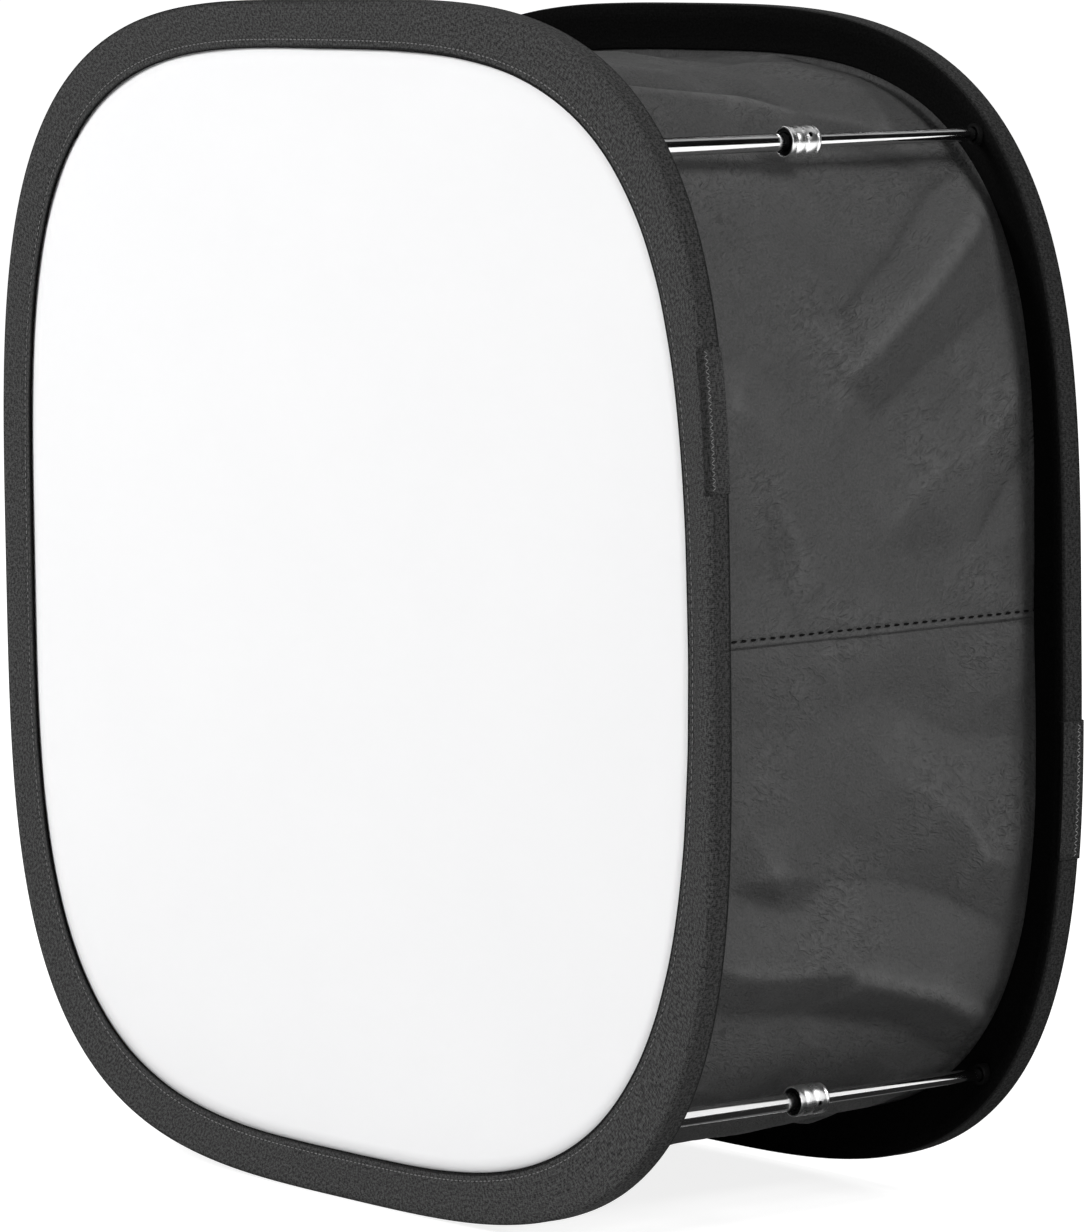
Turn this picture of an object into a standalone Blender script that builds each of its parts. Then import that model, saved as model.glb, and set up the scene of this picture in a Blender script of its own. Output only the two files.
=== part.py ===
# A collapsible softbox for a flat panel light.
# Two spring-steel hoops in tape sleeves hold a white front cloth and a black cloth
# tunnel open. Four telescoping corner rods keep the hoops apart. The rear panel has
# a bound opening for the light, and two straps pass behind it.
# Metres, +Z up, the white front faces -Y, the origin is under the middle of the box.

import math

import bmesh
import bpy
import numpy as np
from mathutils import Matrix, Vector

# Overall sizes
FRONT_SIZE = 0.406  # width and height over the front rim
REAR_STEP = 0.008  # the rear rim is smaller by this
DEPTH = 0.160  # from the front of the front rim to the back of the rear rim
FRONT_POWER = 3.46  # squareness of the outlines: 2 is a circle
REAR_POWER = 3.35
SEAM_POWER = 3.36
RIM_WIDTH = 0.016  # from the outer edge to the seam, in the middle of a side

# Hoops and the tape round them
HOOP_WIDTH = 0.0058
HOOP_THICK = 0.0010
HOOP_END_GAP = 0.0010  # between the two ends, inside the ferrule
FERRULE_WALL = 0.0004
FERRULE_LENGTH = 0.032
FERRULE_SLOT = 0.0006
TAPE = 0.0006
TAPE_BEVEL = 0.0008
SET_BACK = 0.0014  # the sewn edge lies this far behind the rim's face
HEM = 0.0022  # cloth caught between the tape's edges
PATCH_LENGTH = 0.046
PATCH_REACH = 0.0015  # how far a splice patch laps onto the rim's faces
FRONT_SPLICE_HEIGHT = 0.0725  # above the middle of the hoop, on the right
REAR_SPLICE_HEIGHT = -0.0580
GAP = 0.0003  # between pieces that touch

# Cloth
DIFFUSER_CLOTH = 0.0004
TUNNEL_CLOTH = 0.0007
PANEL_CLOTH = 0.0006
LAP = 0.006  # the lower panel runs this far up behind the upper one
LAP_DROP = 0.002  # the upper panel's edge hangs this far below mid height
LAP_TRIM = 0.006  # the lap is cut short by this at both rims
LAP_JOG = 0.0014  # height in which the lower panel steps out to the upper one's layer
HEM_STEP = 0.0005  # height in which the lower panel's ends widen into their hems
WAIST = 0.003  # how far the tunnel draws in half way along
SEAM_STRAIGHT = 0.030  # folds die out this near a seam

# Main folds of the tunnel: from and to, as (distance along the cloth from the side
# seam, distance from the front), then half width and height
UPPER_FOLDS = (
    ((0.145, 0.132), (0.098, 0.040), 0.013, 0.0056),
    ((0.092, 0.148), (0.078, 0.060), 0.011, 0.0040),
    ((0.190, 0.140), (0.205, 0.045), 0.014, 0.0050),
    ((0.290, 0.120), (0.262, 0.030), 0.015, 0.0046),
)
LOWER_FOLDS = (
    ((0.142, 0.140), (0.115, 0.066), 0.012, 0.0060),
    ((0.115, 0.066), (0.113, 0.008), 0.013, 0.0042),
    ((0.084, 0.150), (0.030, 0.066), 0.012, 0.0040),
    ((0.200, 0.136), (0.225, 0.040), 0.014, 0.0050),
    ((0.300, 0.125), (0.285, 0.035), 0.015, 0.0046),
)

# Telescoping rods
TUBE_DIAMETER = 0.0060
TUBE_WALL = 0.0003
ROD_DIAMETER = 0.0045
ROD_WALL = 0.00045
COLLAR_FROM_FRONT = 0.075  # the collar's middle
COLLAR_LENGTH = 0.012
COLLAR_WALL = 0.0005
COLLAR_END = 0.0008  # thickness of the wall behind the collet
GROOVE_WIDTH = 0.0014
GROOVE_DEPTH = 0.0003
PIN_HOLE = 0.0016
PIN_HOLE_FROM_MIDDLE = 0.0018  # towards the back
PIN_HOLE_TURNS = (-17, 17, -36, 36)  # degrees round each collar from its corner's direction
COLLET_WALL = 0.0010
COLLET_TIP_WALL = 0.0007
SLIT = 0.0006
PLUG_LENGTH = 0.0045
PLUG_STEM = 0.0060
TRAVEL = 0.054  # how far the tubes slide over the rods when the collars are open
CUP_FLOOR = 0.0010
CUP_WALL = 0.0010
CUP_PROUD = 0.0015  # the cup stands this far out of the sleeve
SADDLE_LENGTH = 0.008
WEB_WIDTH = 0.005
WEB_THICK = 0.0025

# Rear opening
OPENING_WIDTH = 0.250
OPENING_HEIGHT = 0.232
OPENING_CORNER = 0.012
BINDING_WIDTH = 0.008
BINDING_CLOTH = 0.0008

# Straps behind the light
STRAP_WIDTH = 0.022
STRAP_CLOTH = 0.0012
STRAP_HEIGHT = 0.055  # above and below the middle
STRAP_BOW = 0.029
STRAP_POWER = 6  # how squarely it bows round the light's corners
STRAP_ROOT = 0.002  # flat stretch beside the sewn tab
TAB_LENGTH = 0.018
TAB_THICK = 0.0012
TAB_FROM_BINDING = 0.003
HOOK_THICK = 0.0010
PAD_LENGTH = 0.024
PAD_CORNER = 0.002

# How finely the round pieces are faceted
STATIONS = 64  # round a rim, a multiple of 8, with a flat facet under the middle
SPANS = 12  # along the tunnel
SIDES = 16  # round a rod
PIN_HOLE_SIDES = 8
STRAP_STEPS = 22
OPENING_CORNER_STEPS = 5
PAD_CORNER_STEPS = 3
OUTLINE_SAMPLES = 4001  # along a quarter of the rim, from which the stations are chosen
SMOOTH_ANGLE = 35  # degrees; sharper edges stay crisp

# Worked out from the sizes above
REAR_SIZE = FRONT_SIZE - REAR_STEP
CENTRE_Z = FRONT_SIZE / 2
HOOP_INSET = TAPE + GAP + FERRULE_WALL + GAP  # outer edge of the tape to the hoop
RIM_DEPTH = HOOP_WIDTH + 2 * HOOP_INSET
TAPE_FLAT = HOOP_INSET + HOOP_THICK + GAP + FERRULE_WALL + GAP + TAPE
LAYER_STEP = TUNNEL_CLOTH + GAP
PANEL_INSET = SET_BACK + TAPE + GAP  # rear face of the rim to the rear panel
TAB_BACK = PANEL_INSET - GAP - TAB_THICK  # rear face of the rim to the tab's back
STRAP_BACK = TAB_BACK - GAP  # rear face of the rim to the strap's front
STRAP_REACH = STRAP_BOW + STRAP_CLOTH - STRAP_BACK
FRONT_Y = -(DEPTH + STRAP_REACH) / 2
REAR_Y = FRONT_Y + DEPTH
CUP_BASE = SET_BACK + TAPE + GAP
CUP_MOUTH = RIM_DEPTH + CUP_PROUD
TUBE_BORE = TUBE_DIAMETER / 2 - TUBE_WALL
ROD_BORE = ROD_DIAMETER / 2 - ROD_WALL
COLLET_BORE = TUBE_DIAMETER / 2 + GAP
COLLET_RADIUS = COLLET_BORE + COLLET_WALL
COLLET_TIP_BORE = ROD_DIAMETER / 2 + GAP
COLLET_TIP = COLLET_TIP_BORE + COLLET_TIP_WALL
COLLAR_BORE = COLLET_RADIUS + GAP
COLLAR_RADIUS = COLLAR_BORE + COLLAR_WALL
HINGE_X = -(OPENING_WIDTH / 2 + BINDING_WIDTH + TAB_FROM_BINDING)


def remove_everything():
    for old in list(bpy.data.objects):
        bpy.data.objects.remove(old, do_unlink=True)


def finish(name, colour, roughness, metallic=0.0):
    material = bpy.data.materials.new(name)
    material.use_nodes = True
    shader = material.node_tree.nodes["Principled BSDF"]
    shader.inputs["Base Color"].default_value = (*colour, 1)
    shader.inputs["Roughness"].default_value = roughness
    shader.inputs["Metallic"].default_value = metallic
    return material


def add_object(name, mesh, material, parent=None, matrix=None):
    """Puts a mesh in the scene as one named piece."""
    piece = bpy.data.objects.new(name, mesh)
    bpy.context.scene.collection.objects.link(piece)
    if not mesh.materials:
        mesh.materials.append(material)
    if matrix is not None:
        piece.matrix_world = matrix
    piece.parent = parent
    return piece


def add_empty(name):
    empty = bpy.data.objects.new(name, None)
    empty.empty_display_size = RIM_WIDTH
    bpy.context.scene.collection.objects.link(empty)
    return empty


def mesh_from(name, bm):
    """Turns a bmesh into a mesh with its faces outwards and its round faces smooth."""
    bmesh.ops.recalc_face_normals(bm, faces=bm.faces)
    mesh = bpy.data.meshes.new(name)
    bm.to_mesh(mesh)
    bm.free()
    mesh.shade_smooth()
    mesh.set_sharp_from_angle(angle=math.radians(SMOOTH_ANGLE))
    return mesh


def swept(name, loops, closed):
    """Joins equal loops of points, one after the other, and caps both ends if open."""
    bm = bmesh.new()
    rings = [[bm.verts.new(point) for point in loop] for loop in loops]
    pairs = list(zip(rings, rings[1:] + rings[:1]))
    for ring, following in pairs if closed else pairs[:-1]:
        for i in range(len(ring)):
            j = (i + 1) % len(ring)
            bm.faces.new((ring[i], ring[j], following[j], following[i]))
    if not closed:
        bm.faces.new(rings[0])
        bm.faces.new(rings[-1])
    return mesh_from(name, bm)


def turned(name, profile, sides=SIDES):
    """Spins a half section of (radius, y) about the Y axis."""
    bm = bmesh.new()
    points = [bm.verts.new((radius, y, 0)) for radius, y in profile]
    solid = profile[0][0] == 0 and profile[-1][0] == 0
    pairs = list(zip(points, points[1:] + points[:1]))
    edges = [bm.edges.new(pair) for pair in (pairs[:-1] if solid else pairs)]
    bmesh.ops.spin(
        bm, geom=points + edges, cent=(0, 0, 0), axis=(0, 1, 0), dvec=(0, 0, 0),
        angle=math.tau, steps=sides, use_merge=True, use_duplicate=False,
    )
    bmesh.ops.remove_doubles(bm, verts=bm.verts, dist=1e-6)
    return mesh_from(name, bm)


def extruded(name, outlines, start_y, thickness):
    """Fills flat outlines of (x, z), the later ones as holes, and gives them thickness."""
    bm = bmesh.new()
    edges = []
    for outline in outlines:
        ring = [bm.verts.new((x, start_y, z)) for x, z in outline]
        edges += [bm.edges.new(pair) for pair in zip(ring, ring[1:] + ring[:1])]
    filled = bmesh.ops.triangle_fill(bm, edges=edges, use_beauty=True)
    faces = [face for face in filled["geom"] if isinstance(face, bmesh.types.BMFace)]
    raised = bmesh.ops.extrude_face_region(bm, geom=faces, use_keep_orig=True)["geom"]
    top = [vert for vert in raised if isinstance(vert, bmesh.types.BMVert)]
    bmesh.ops.translate(bm, verts=top, vec=(0, thickness, 0))
    return mesh_from(name, bm)


def shaped(name, mesh, tools, operation):
    """Joins tools to a mesh, or cuts them from it, and returns the result as a mesh."""
    base = add_object(name + "_base", mesh, None)
    helpers = [add_object(name + "_tool", tool, None) for tool in tools]
    for helper in helpers:
        modifier = base.modifiers.new("shape", "BOOLEAN")
        modifier.operation = operation
        modifier.object = helper
    graph = bpy.context.evaluated_depsgraph_get()
    result = bpy.data.meshes.new_from_object(base.evaluated_get(graph))
    result.name = name
    result.materials.clear()
    for helper in [base, *helpers]:
        bpy.data.objects.remove(helper, do_unlink=True)
    result.shade_smooth()
    result.set_sharp_from_angle(angle=math.radians(SMOOTH_ANGLE))
    return result


def box_mesh(name, low, high):
    bm = bmesh.new()
    bmesh.ops.create_cube(bm, size=1)
    size = Vector(high) - Vector(low)
    middle = (Vector(high) + Vector(low)) / 2
    bmesh.ops.scale(bm, vec=size, verts=bm.verts)
    bmesh.ops.translate(bm, vec=middle, verts=bm.verts)
    return mesh_from(name, bm)


# Outlines of the rims. A station is a place round the rim; station 0 is just above
# mid height on the right, and fractions lie on the straight facet between two.


def radius_at(angle, size, power):
    around = np.abs(np.cos(angle)) ** power + np.abs(np.sin(angle)) ** power
    return size / 2 * around ** (-1 / power)


def station_angles():
    """Angles that share out length and bend evenly, alike in each quarter."""
    fine = np.linspace(0, math.pi / 2, OUTLINE_SAMPLES)
    reach = radius_at(fine, FRONT_SIZE, FRONT_POWER)
    x, z = reach * np.cos(fine), reach * np.sin(fine)
    heading = np.unwrap(np.arctan2(np.diff(z), np.diff(x)))
    turn = np.concatenate(([0], np.cumsum(np.abs(np.diff(heading))), [0]))
    turn[-1] = turn[-2]
    length = np.concatenate(([0], np.cumsum(np.hypot(np.diff(x), np.diff(z)))))
    share = length / length[-1] + turn / turn[-1]
    count = STATIONS // 4
    quarter = np.interp((np.arange(count) + 0.5) / count * share[-1], share, fine)
    return np.concatenate([quarter + k * math.pi / 2 for k in range(4)])


ANGLES = station_angles()
OUTWARD = np.stack([np.cos(ANGLES), np.sin(ANGLES)], axis=1)


def ring_of(size, power):
    return OUTWARD * radius_at(ANGLES, size, power)[:, None]


class Rim:
    """One rim: its outer edge, its seam, and the way in from its outer face."""

    def __init__(self, size, power, face_y, inward, cloth):
        self.edge = ring_of(size, power)
        self.seam = ring_of(size - 2 * RIM_WIDTH, SEAM_POWER)
        self.face_y = face_y
        self.inward = inward
        self.cloth_from = SET_BACK + TAPE + GAP
        self.tunnel_from = self.cloth_from + cloth + GAP
        self.lip = self.tunnel_from + TUNNEL_CLOTH + GAP + TAPE

    def point(self, station, line, inset, depth):
        """A point inset from the edge or the seam, at a depth behind the outer face."""
        x, z = on_ring(getattr(self, line), station) - inset * on_ring(OUTWARD, station)
        return (x, self.face_y + self.inward * depth, CENTRE_Z + z)

    def corner_reach(self):
        """From the middle of the rim to the facet across its corner."""
        corner = STATIONS / 8 - 0.5
        return float(np.hypot(*on_ring(self.edge, corner)))

    def right_station(self, height):
        """The station at this height above the middle, on the right side."""
        near = np.arange(-STATIONS // 8, STATIONS // 8)
        return float(np.interp(height, self.edge[near, 1], near))


def on_ring(ring, station):
    """Where a station is on a ring of points."""
    before = math.floor(station)
    part = station - before
    return ring[before % STATIONS] * (1 - part) + ring[(before + 1) % STATIONS] * part


def stations_between(start, end):
    """Both ends and each whole station that is clearly between them."""
    clear = 0.02
    whole = range(math.ceil(start + clear), math.floor(end - clear) + 1)
    return [start, *whole, end]


FRONT = Rim(FRONT_SIZE, FRONT_POWER, FRONT_Y, 1, DIFFUSER_CLOTH)
REAR = Rim(REAR_SIZE, REAR_POWER, REAR_Y, -1, PANEL_CLOTH)
CUP_RADIUS = ROD_DIAMETER / 2 + GAP + CUP_WALL  # of the rear cups, beside the hoop
ROD_REACH = REAR.corner_reach() - HOOP_INSET - HOOP_THICK - GAP - CUP_RADIUS


def sleeve_section(rim):
    """Folded tape, open at the seam: (line, inset, depth) round its section."""
    far = RIM_DEPTH - TAPE
    return [
        ("seam", 0, SET_BACK),
        ("edge", TAPE_FLAT, 0),
        ("edge", TAPE_BEVEL, 0),
        ("edge", 0, TAPE_BEVEL),
        ("edge", 0, RIM_DEPTH - TAPE_BEVEL),
        ("edge", TAPE_BEVEL, RIM_DEPTH),
        ("edge", TAPE_FLAT, RIM_DEPTH),
        ("seam", 0, rim.lip),
        ("seam", 0, rim.lip - TAPE),
        ("edge", TAPE_FLAT, far),
        ("edge", TAPE, far),
        ("edge", TAPE, TAPE),
        ("edge", TAPE_FLAT, TAPE),
        ("seam", 0, SET_BACK + TAPE),
    ]


def hoop_section():
    low, high = HOOP_INSET, RIM_DEPTH - HOOP_INSET
    near, far = HOOP_INSET, HOOP_INSET + HOOP_THICK
    return [("edge", near, low), ("edge", near, high), ("edge", far, high), ("edge", far, low)]


def crimp_outline(slot):
    """A sleeve crimped round the hoop, with its slot on the inner side: (inset, depth)."""
    near = HOOP_INSET - GAP - FERRULE_WALL
    far = HOOP_INSET + HOOP_THICK + GAP + FERRULE_WALL
    top = RIM_DEPTH - near
    wall = FERRULE_WALL
    low_side, high_side = (RIM_DEPTH - slot) / 2, (RIM_DEPTH + slot) / 2
    return [
        (far, low_side), (far, near), (near, near), (near, top), (far, top), (far, high_side),
        (far - wall, high_side), (far - wall, top - wall), (near + wall, top - wall),
        (near + wall, near + wall), (far - wall, near + wall), (far - wall, low_side),
    ]


def patch_section():
    """A second layer of tape outside the first, lapping onto both faces."""
    inner, outer = -GAP, -GAP - TAPE
    near, far = TAPE_BEVEL, RIM_DEPTH - TAPE_BEVEL
    back_inner, back_outer = RIM_DEPTH - inner, RIM_DEPTH - outer
    return [
        ("edge", PATCH_REACH, inner), ("edge", TAPE_BEVEL, inner),
        ("edge", inner, near), ("edge", inner, far),
        ("edge", TAPE_BEVEL, back_inner), ("edge", PATCH_REACH, back_inner),
        ("edge", PATCH_REACH, back_outer), ("edge", TAPE_BEVEL, back_outer),
        ("edge", outer, far), ("edge", outer, near),
        ("edge", TAPE_BEVEL, outer), ("edge", PATCH_REACH, outer),
    ]


def rim_sweep(name, rim, section, start=None, end=None):
    """Sweeps a section along the rim, all round it or from one station to another."""
    closed = start is None
    stations = range(STATIONS) if closed else stations_between(start, end)
    loops = [[rim.point(station, *place) for place in section] for station in stations]
    return swept(name, loops, closed)


def span_about(rim, height, length):
    """The stations at both ends of a length centred at a height on the right side."""
    return rim.right_station(height - length / 2), rim.right_station(height + length / 2)


def make_rim(name, rim, splice_height, holes, parent, steel, tape):
    """A hoop with its ends in a ferrule, its tape sleeve and the patch on the splice."""
    start, end = span_about(rim, splice_height, HOOP_END_GAP)
    hoop = rim_sweep(f"{name}_hoop", rim, hoop_section(), end, start + STATIONS)
    add_object(f"{name}_hoop", hoop, steel, parent)
    ferrule_section = [("edge", *place) for place in crimp_outline(FERRULE_SLOT)]
    start, end = span_about(rim, splice_height, FERRULE_LENGTH)
    ferrule = rim_sweep(f"{name}_hoop_ferrule", rim, ferrule_section, start, end)
    add_object(f"{name}_hoop_ferrule", ferrule, steel, parent)
    sleeve = rim_sweep(f"{name}_rim_sleeve", rim, sleeve_section(rim))
    sleeve = shaped(f"{name}_rim_sleeve", sleeve, holes, "DIFFERENCE")
    add_object(f"{name}_rim_sleeve", sleeve, tape, parent)
    start, end = span_about(rim, splice_height, PATCH_LENGTH)
    patch = rim_sweep(f"{name}_splice_patch", rim, patch_section(), start, end)
    add_object(f"{name}_splice_patch", patch, tape, parent)


# Rods and their seats. Rod number k stands at the corner 45 degrees plus k quarters
# round from the right.


def corner_angle(k):
    return math.pi / 4 + k * math.pi / 2


def rod_axis(k, y):
    angle = corner_angle(k)
    return Vector((ROD_REACH * math.cos(angle), y, CENTRE_Z + ROD_REACH * math.sin(angle)))


def corner_matrix(k, y, turned_round=False):
    """Local X points out to the corner, local Y along the rod, away from the rim's face."""
    matrix = Matrix.Translation(rod_axis(k, y)) @ Matrix.Rotation(-corner_angle(k), 4, "Y")
    return matrix @ Matrix.Rotation(math.pi, 4, "X") if turned_round else matrix


def seat_mesh(name, rim, rod_radius):
    """A saddle crimped on the hoop, with a web to the cup that takes the rod's end."""
    bore = rod_radius + GAP
    outside = bore + CUP_WALL
    floor = CUP_BASE + CUP_FLOOR
    profile = [
        (0, CUP_BASE), (outside, CUP_BASE), (outside, CUP_MOUTH),
        (bore, CUP_MOUTH), (bore, floor), (0, floor),
    ]
    cup = turned(name + "_cup", profile)
    axis_inset = rim.corner_reach() - ROD_REACH
    half = SADDLE_LENGTH / 2
    outline = [(axis_inset - inset, depth) for inset, depth in crimp_outline(FERRULE_SLOT)]
    ends = [[(x, y, z) for x, y in outline] for z in (-half, half)]
    saddle = swept(name + "_saddle", ends, False)
    plate_inset = HOOP_INSET + HOOP_THICK + GAP
    web_low = Vector((bore + CUP_WALL / 2, CUP_BASE, -WEB_WIDTH / 2))
    web_high = Vector((axis_inset - plate_inset, CUP_BASE + WEB_THICK, WEB_WIDTH / 2))
    web = box_mesh(name + "_web", web_low, web_high)
    return shaped(name, cup, [saddle, web], "UNION")


def cup_holes(rim, rod_radius):
    """Cutters for the holes through which the cups stand out of the sleeve."""
    radius = rod_radius + GAP + CUP_WALL + GAP
    start, end = CUP_BASE, CUP_MOUTH + GAP
    holes = []
    for k in range(4):
        hole = turned("cup_hole", [(0, start), (radius, start), (radius, end), (0, end)])
        hole.transform(corner_matrix(k, rim.face_y, rim.inward < 0))
        holes.append(hole)
    return holes


def collar_mesh(hole_turn):
    """The twist collar: a thin shell over the collet, with a groove and a pin hole."""
    front, back = -COLLAR_LENGTH / 2, COLLAR_LENGTH / 2
    step = back - COLLAR_END
    taper = step - (COLLET_RADIUS - COLLET_TIP) - GAP
    groove = GROOVE_WIDTH / 2
    bevel = GROOVE_DEPTH
    radius = COLLAR_RADIUS
    profile = [
        (COLLAR_BORE, front), (radius - bevel, front), (radius, front + bevel),
        (radius, -groove), (radius - GROOVE_DEPTH, -groove / 2),
        (radius - GROOVE_DEPTH, groove / 2), (radius, groove),
        (radius, back - bevel), (radius - bevel, back), (COLLET_TIP_BORE, back),
        (COLLET_TIP_BORE, step), (COLLET_TIP + GAP, step), (COLLAR_BORE, taper),
    ]
    shell = turned("rod_collar", profile)
    low, high = COLLAR_BORE - GAP, radius + GAP
    hole_radius = PIN_HOLE / 2
    hole = turned(
        "pin_hole", [(0, low), (hole_radius, low), (hole_radius, high), (0, high)], PIN_HOLE_SIDES
    )
    outward = Matrix.Rotation(-math.pi / 2, 4, "Z")
    round_collar = Matrix.Rotation(math.radians(-hole_turn), 4, "Y")
    behind_groove = Matrix.Translation((0, PIN_HOLE_FROM_MIDDLE, 0))
    hole.transform(behind_groove @ round_collar @ outward)
    return shaped("rod_collar", shell, [hole], "DIFFERENCE")


def collet_mesh():
    """Grips the rod through four fingers when the collar is twisted."""
    front = -COLLAR_LENGTH / 2 + GAP * 2
    tip = COLLAR_LENGTH / 2 - COLLAR_END - GAP
    shoulder = GAP  # the tube ends at the collar's middle
    taper = tip - (COLLET_RADIUS - COLLET_TIP) - GAP
    profile = [
        (COLLET_BORE, front), (COLLET_RADIUS, front), (COLLET_RADIUS, taper), (COLLET_TIP, tip),
        (COLLET_TIP_BORE, tip), (COLLET_TIP_BORE, shoulder), (COLLET_BORE, shoulder),
    ]
    body = turned("rod_collet", profile)
    wide = COLLET_RADIUS + GAP
    start = shoulder + COLLET_TIP_WALL
    slits = [
        box_mesh("slit", (-wide, start, -SLIT / 2), (wide, tip + GAP, SLIT / 2)),
        box_mesh("slit", (-SLIT / 2, start, -wide), (SLIT / 2, tip + GAP, wide)),
    ]
    return shaped("rod_collet", body, slits, "DIFFERENCE")


def make_rods(front_frame, rear_frame, steel, chrome, nylon):
    tube_start = CUP_BASE + CUP_FLOOR + GAP
    rod_end = DEPTH - tube_start
    plug_start = tube_start + TRAVEL + GAP  # two gaps clear of the cup's floor at full travel
    rod_start = plug_start + PLUG_LENGTH + GAP
    tube_wall = ring_profile(TUBE_BORE, TUBE_DIAMETER / 2, tube_start, COLLAR_FROM_FRONT)
    tube = turned("rod_tube", tube_wall)
    inner = turned("rod_inner", ring_profile(ROD_BORE, ROD_DIAMETER / 2, rod_start, rod_end))
    head, stem = TUBE_BORE - GAP, ROD_BORE - GAP
    head_end, stem_end = rod_start - GAP, rod_start + PLUG_STEM
    plug_profile = [
        (0, plug_start), (head - GAP, plug_start), (head, plug_start + GAP), (head, head_end),
        (stem, head_end), (stem, stem_end), (0, stem_end),
    ]
    plug = turned("rod_plug", plug_profile)
    front_seat = seat_mesh("front_rod_seat", FRONT, TUBE_DIAMETER / 2)
    rear_seat = seat_mesh("rear_rod_seat", REAR, ROD_DIAMETER / 2)
    collet = collet_mesh()
    for k in range(4):
        number = k + 1
        along = corner_matrix(k, FRONT_Y)
        middle = corner_matrix(k, FRONT_Y + COLLAR_FROM_FRONT)
        back = corner_matrix(k, REAR_Y, turned_round=True)
        add_object(f"front_rod_seat_{number}", front_seat, nylon, front_frame, along)
        add_object(f"rod_tube_{number}", tube, chrome, front_frame, along)
        add_object(f"rod_collet_{number}", collet, nylon, front_frame, middle)
        collar = collar_mesh(PIN_HOLE_TURNS[k])
        add_object(f"rod_collar_{number}", collar, steel, front_frame, middle)
        add_object(f"rod_inner_{number}", inner, chrome, rear_frame, along)
        add_object(f"rod_plug_{number}", plug, nylon, rear_frame, along)
        add_object(f"rear_rod_seat_{number}", rear_seat, nylon, rear_frame, back)


def ring_profile(bore, radius, start, end):
    return [(bore, start), (radius, start), (radius, end), (bore, end)]


# The tunnel: an upper and a lower cloth panel, lapped at mid height on both sides.


def lengths_along(ring):
    steps = np.roll(ring, -1, axis=0) - ring
    return np.hypot(steps[:, 0], steps[:, 1])


SEAM_LENGTHS = np.concatenate(([0], np.cumsum(lengths_along(FRONT.seam))))


def distance_from_seam(station):
    """Along the cloth, to the nearer of the two side seams."""
    whole = SEAM_LENGTHS[-1]
    along = np.interp(station % STATIONS, np.arange(STATIONS + 1), SEAM_LENGTHS)
    along = (along + SEAM_LENGTHS[1] / 2) % (whole / 2)
    return min(along, whole / 2 - along)


def ease(value):
    value = min(max(value, 0.0), 1.0)
    return value * value * (3 - 2 * value)


def fold_height(place, fold):
    """A soft ridge along the fold's line."""
    start, end, half_width, height = fold
    start, end = Vector(start), Vector(end)
    run = end - start
    part = min(max((place - start).dot(run) / run.length_squared, 0), 1)
    across = (place - start - run * part).length
    return height * math.exp(-((across / half_width) ** 2))


def draw_in(station, from_front, folds):
    """How far the cloth lies inside the straight line from seam to seam."""
    distance = distance_from_seam(station)
    span = math.sin(math.pi * from_front / DEPTH)
    place = Vector((distance, from_front))
    ridges = sum(fold_height(place, fold) for fold in folds)
    loose = ease((distance - LAP) / SEAM_STRAIGHT)
    return loose * math.sqrt(span) * (WAIST - ridges * span)


def tunnel_point(station, inset, from_front):
    """On the loft between the two seams."""
    part = from_front / DEPTH
    across = on_ring(FRONT.seam, station) * (1 - part) + on_ring(REAR.seam, station) * part
    x, z = across - inset * on_ring(OUTWARD, station)
    return (x, FRONT_Y + from_front, CENTRE_Z + z)


def tunnel_loop(station, style, folds):
    """The cloth's section at one station: hemmed, plain without hems, or the lap."""
    front = FRONT.tunnel_from
    rear = DEPTH - REAR.tunnel_from
    outer_run = np.linspace(front + TUNNEL_CLOTH, rear - TUNNEL_CLOTH, SPANS + 1)
    inner_run = np.array([front, *outer_run[1:-1], rear])
    inset, nose = GAP, TUNNEL_CLOTH / 3  # a cut edge narrows to a nose a third as thick
    if style == "lap":
        inset += LAYER_STEP
        outer_run = np.clip(outer_run, LAP_TRIM, DEPTH - LAP_TRIM)
        inner_run = outer_run
    outside = [(inset + draw_in(station, y, folds), y) for y in outer_run]
    inside = [(inset + TUNNEL_CLOTH + draw_in(station, y, folds), y) for y in inner_run]
    if style == "hemmed":
        front_tip = [(-HEM, front), (-HEM, front + TUNNEL_CLOTH)]
        rear_tip = [(-HEM, rear - TUNNEL_CLOTH), (-HEM, rear)]
    else:
        front_tip, rear_tip = [
            [(inset + 2 * nose, tip), (inset + nose, tip)]
            for tip in (outer_run[0] - nose, outer_run[-1] + nose)
        ]
        rear_tip.reverse()
    section = front_tip + outside + rear_tip + inside[::-1]
    return [tunnel_point(station, *place) for place in section]


def make_tunnel(rear_frame, cloth):
    def right(height):
        return FRONT.right_station(height)

    def left(height):
        return STATIONS / 2 - 1 - right(height)

    lap_top = LAP - LAP_DROP
    upper = stations_between(right(lap_top), left(lap_top))
    upper = [right(-LAP_DROP), *upper, left(-LAP_DROP)]
    loops = [tunnel_loop(station, "hemmed", UPPER_FOLDS) for station in upper]
    panel = swept("tunnel_upper_panel", loops, False)
    add_object("tunnel_upper_panel", panel, cloth, rear_frame)

    jog_top = -LAP_DROP - 2 * GAP
    jog_foot = jog_top - LAP_JOG
    hem_top = jog_foot - HEM_STEP
    steps = [(lap_top, "lap"), (jog_top, "lap"), (jog_foot, "plain")]
    lower = stations_between(left(hem_top), STATIONS + right(hem_top))
    places = [(left(height), style) for height, style in steps]
    places += [(station, "hemmed") for station in lower]
    places += [(STATIONS + right(height), style) for height, style in reversed(steps)]
    loops = [tunnel_loop(station, style, LOWER_FOLDS) for station, style in places]
    panel = swept("tunnel_lower_panel", loops, False)
    add_object("tunnel_lower_panel", panel, cloth, rear_frame)


def cloth_outline(rim):
    """The edge of a flat cloth caught in the rim's seam."""
    return [(x, CENTRE_Z + z) for x, z in rim.seam + HEM * OUTWARD]


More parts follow.
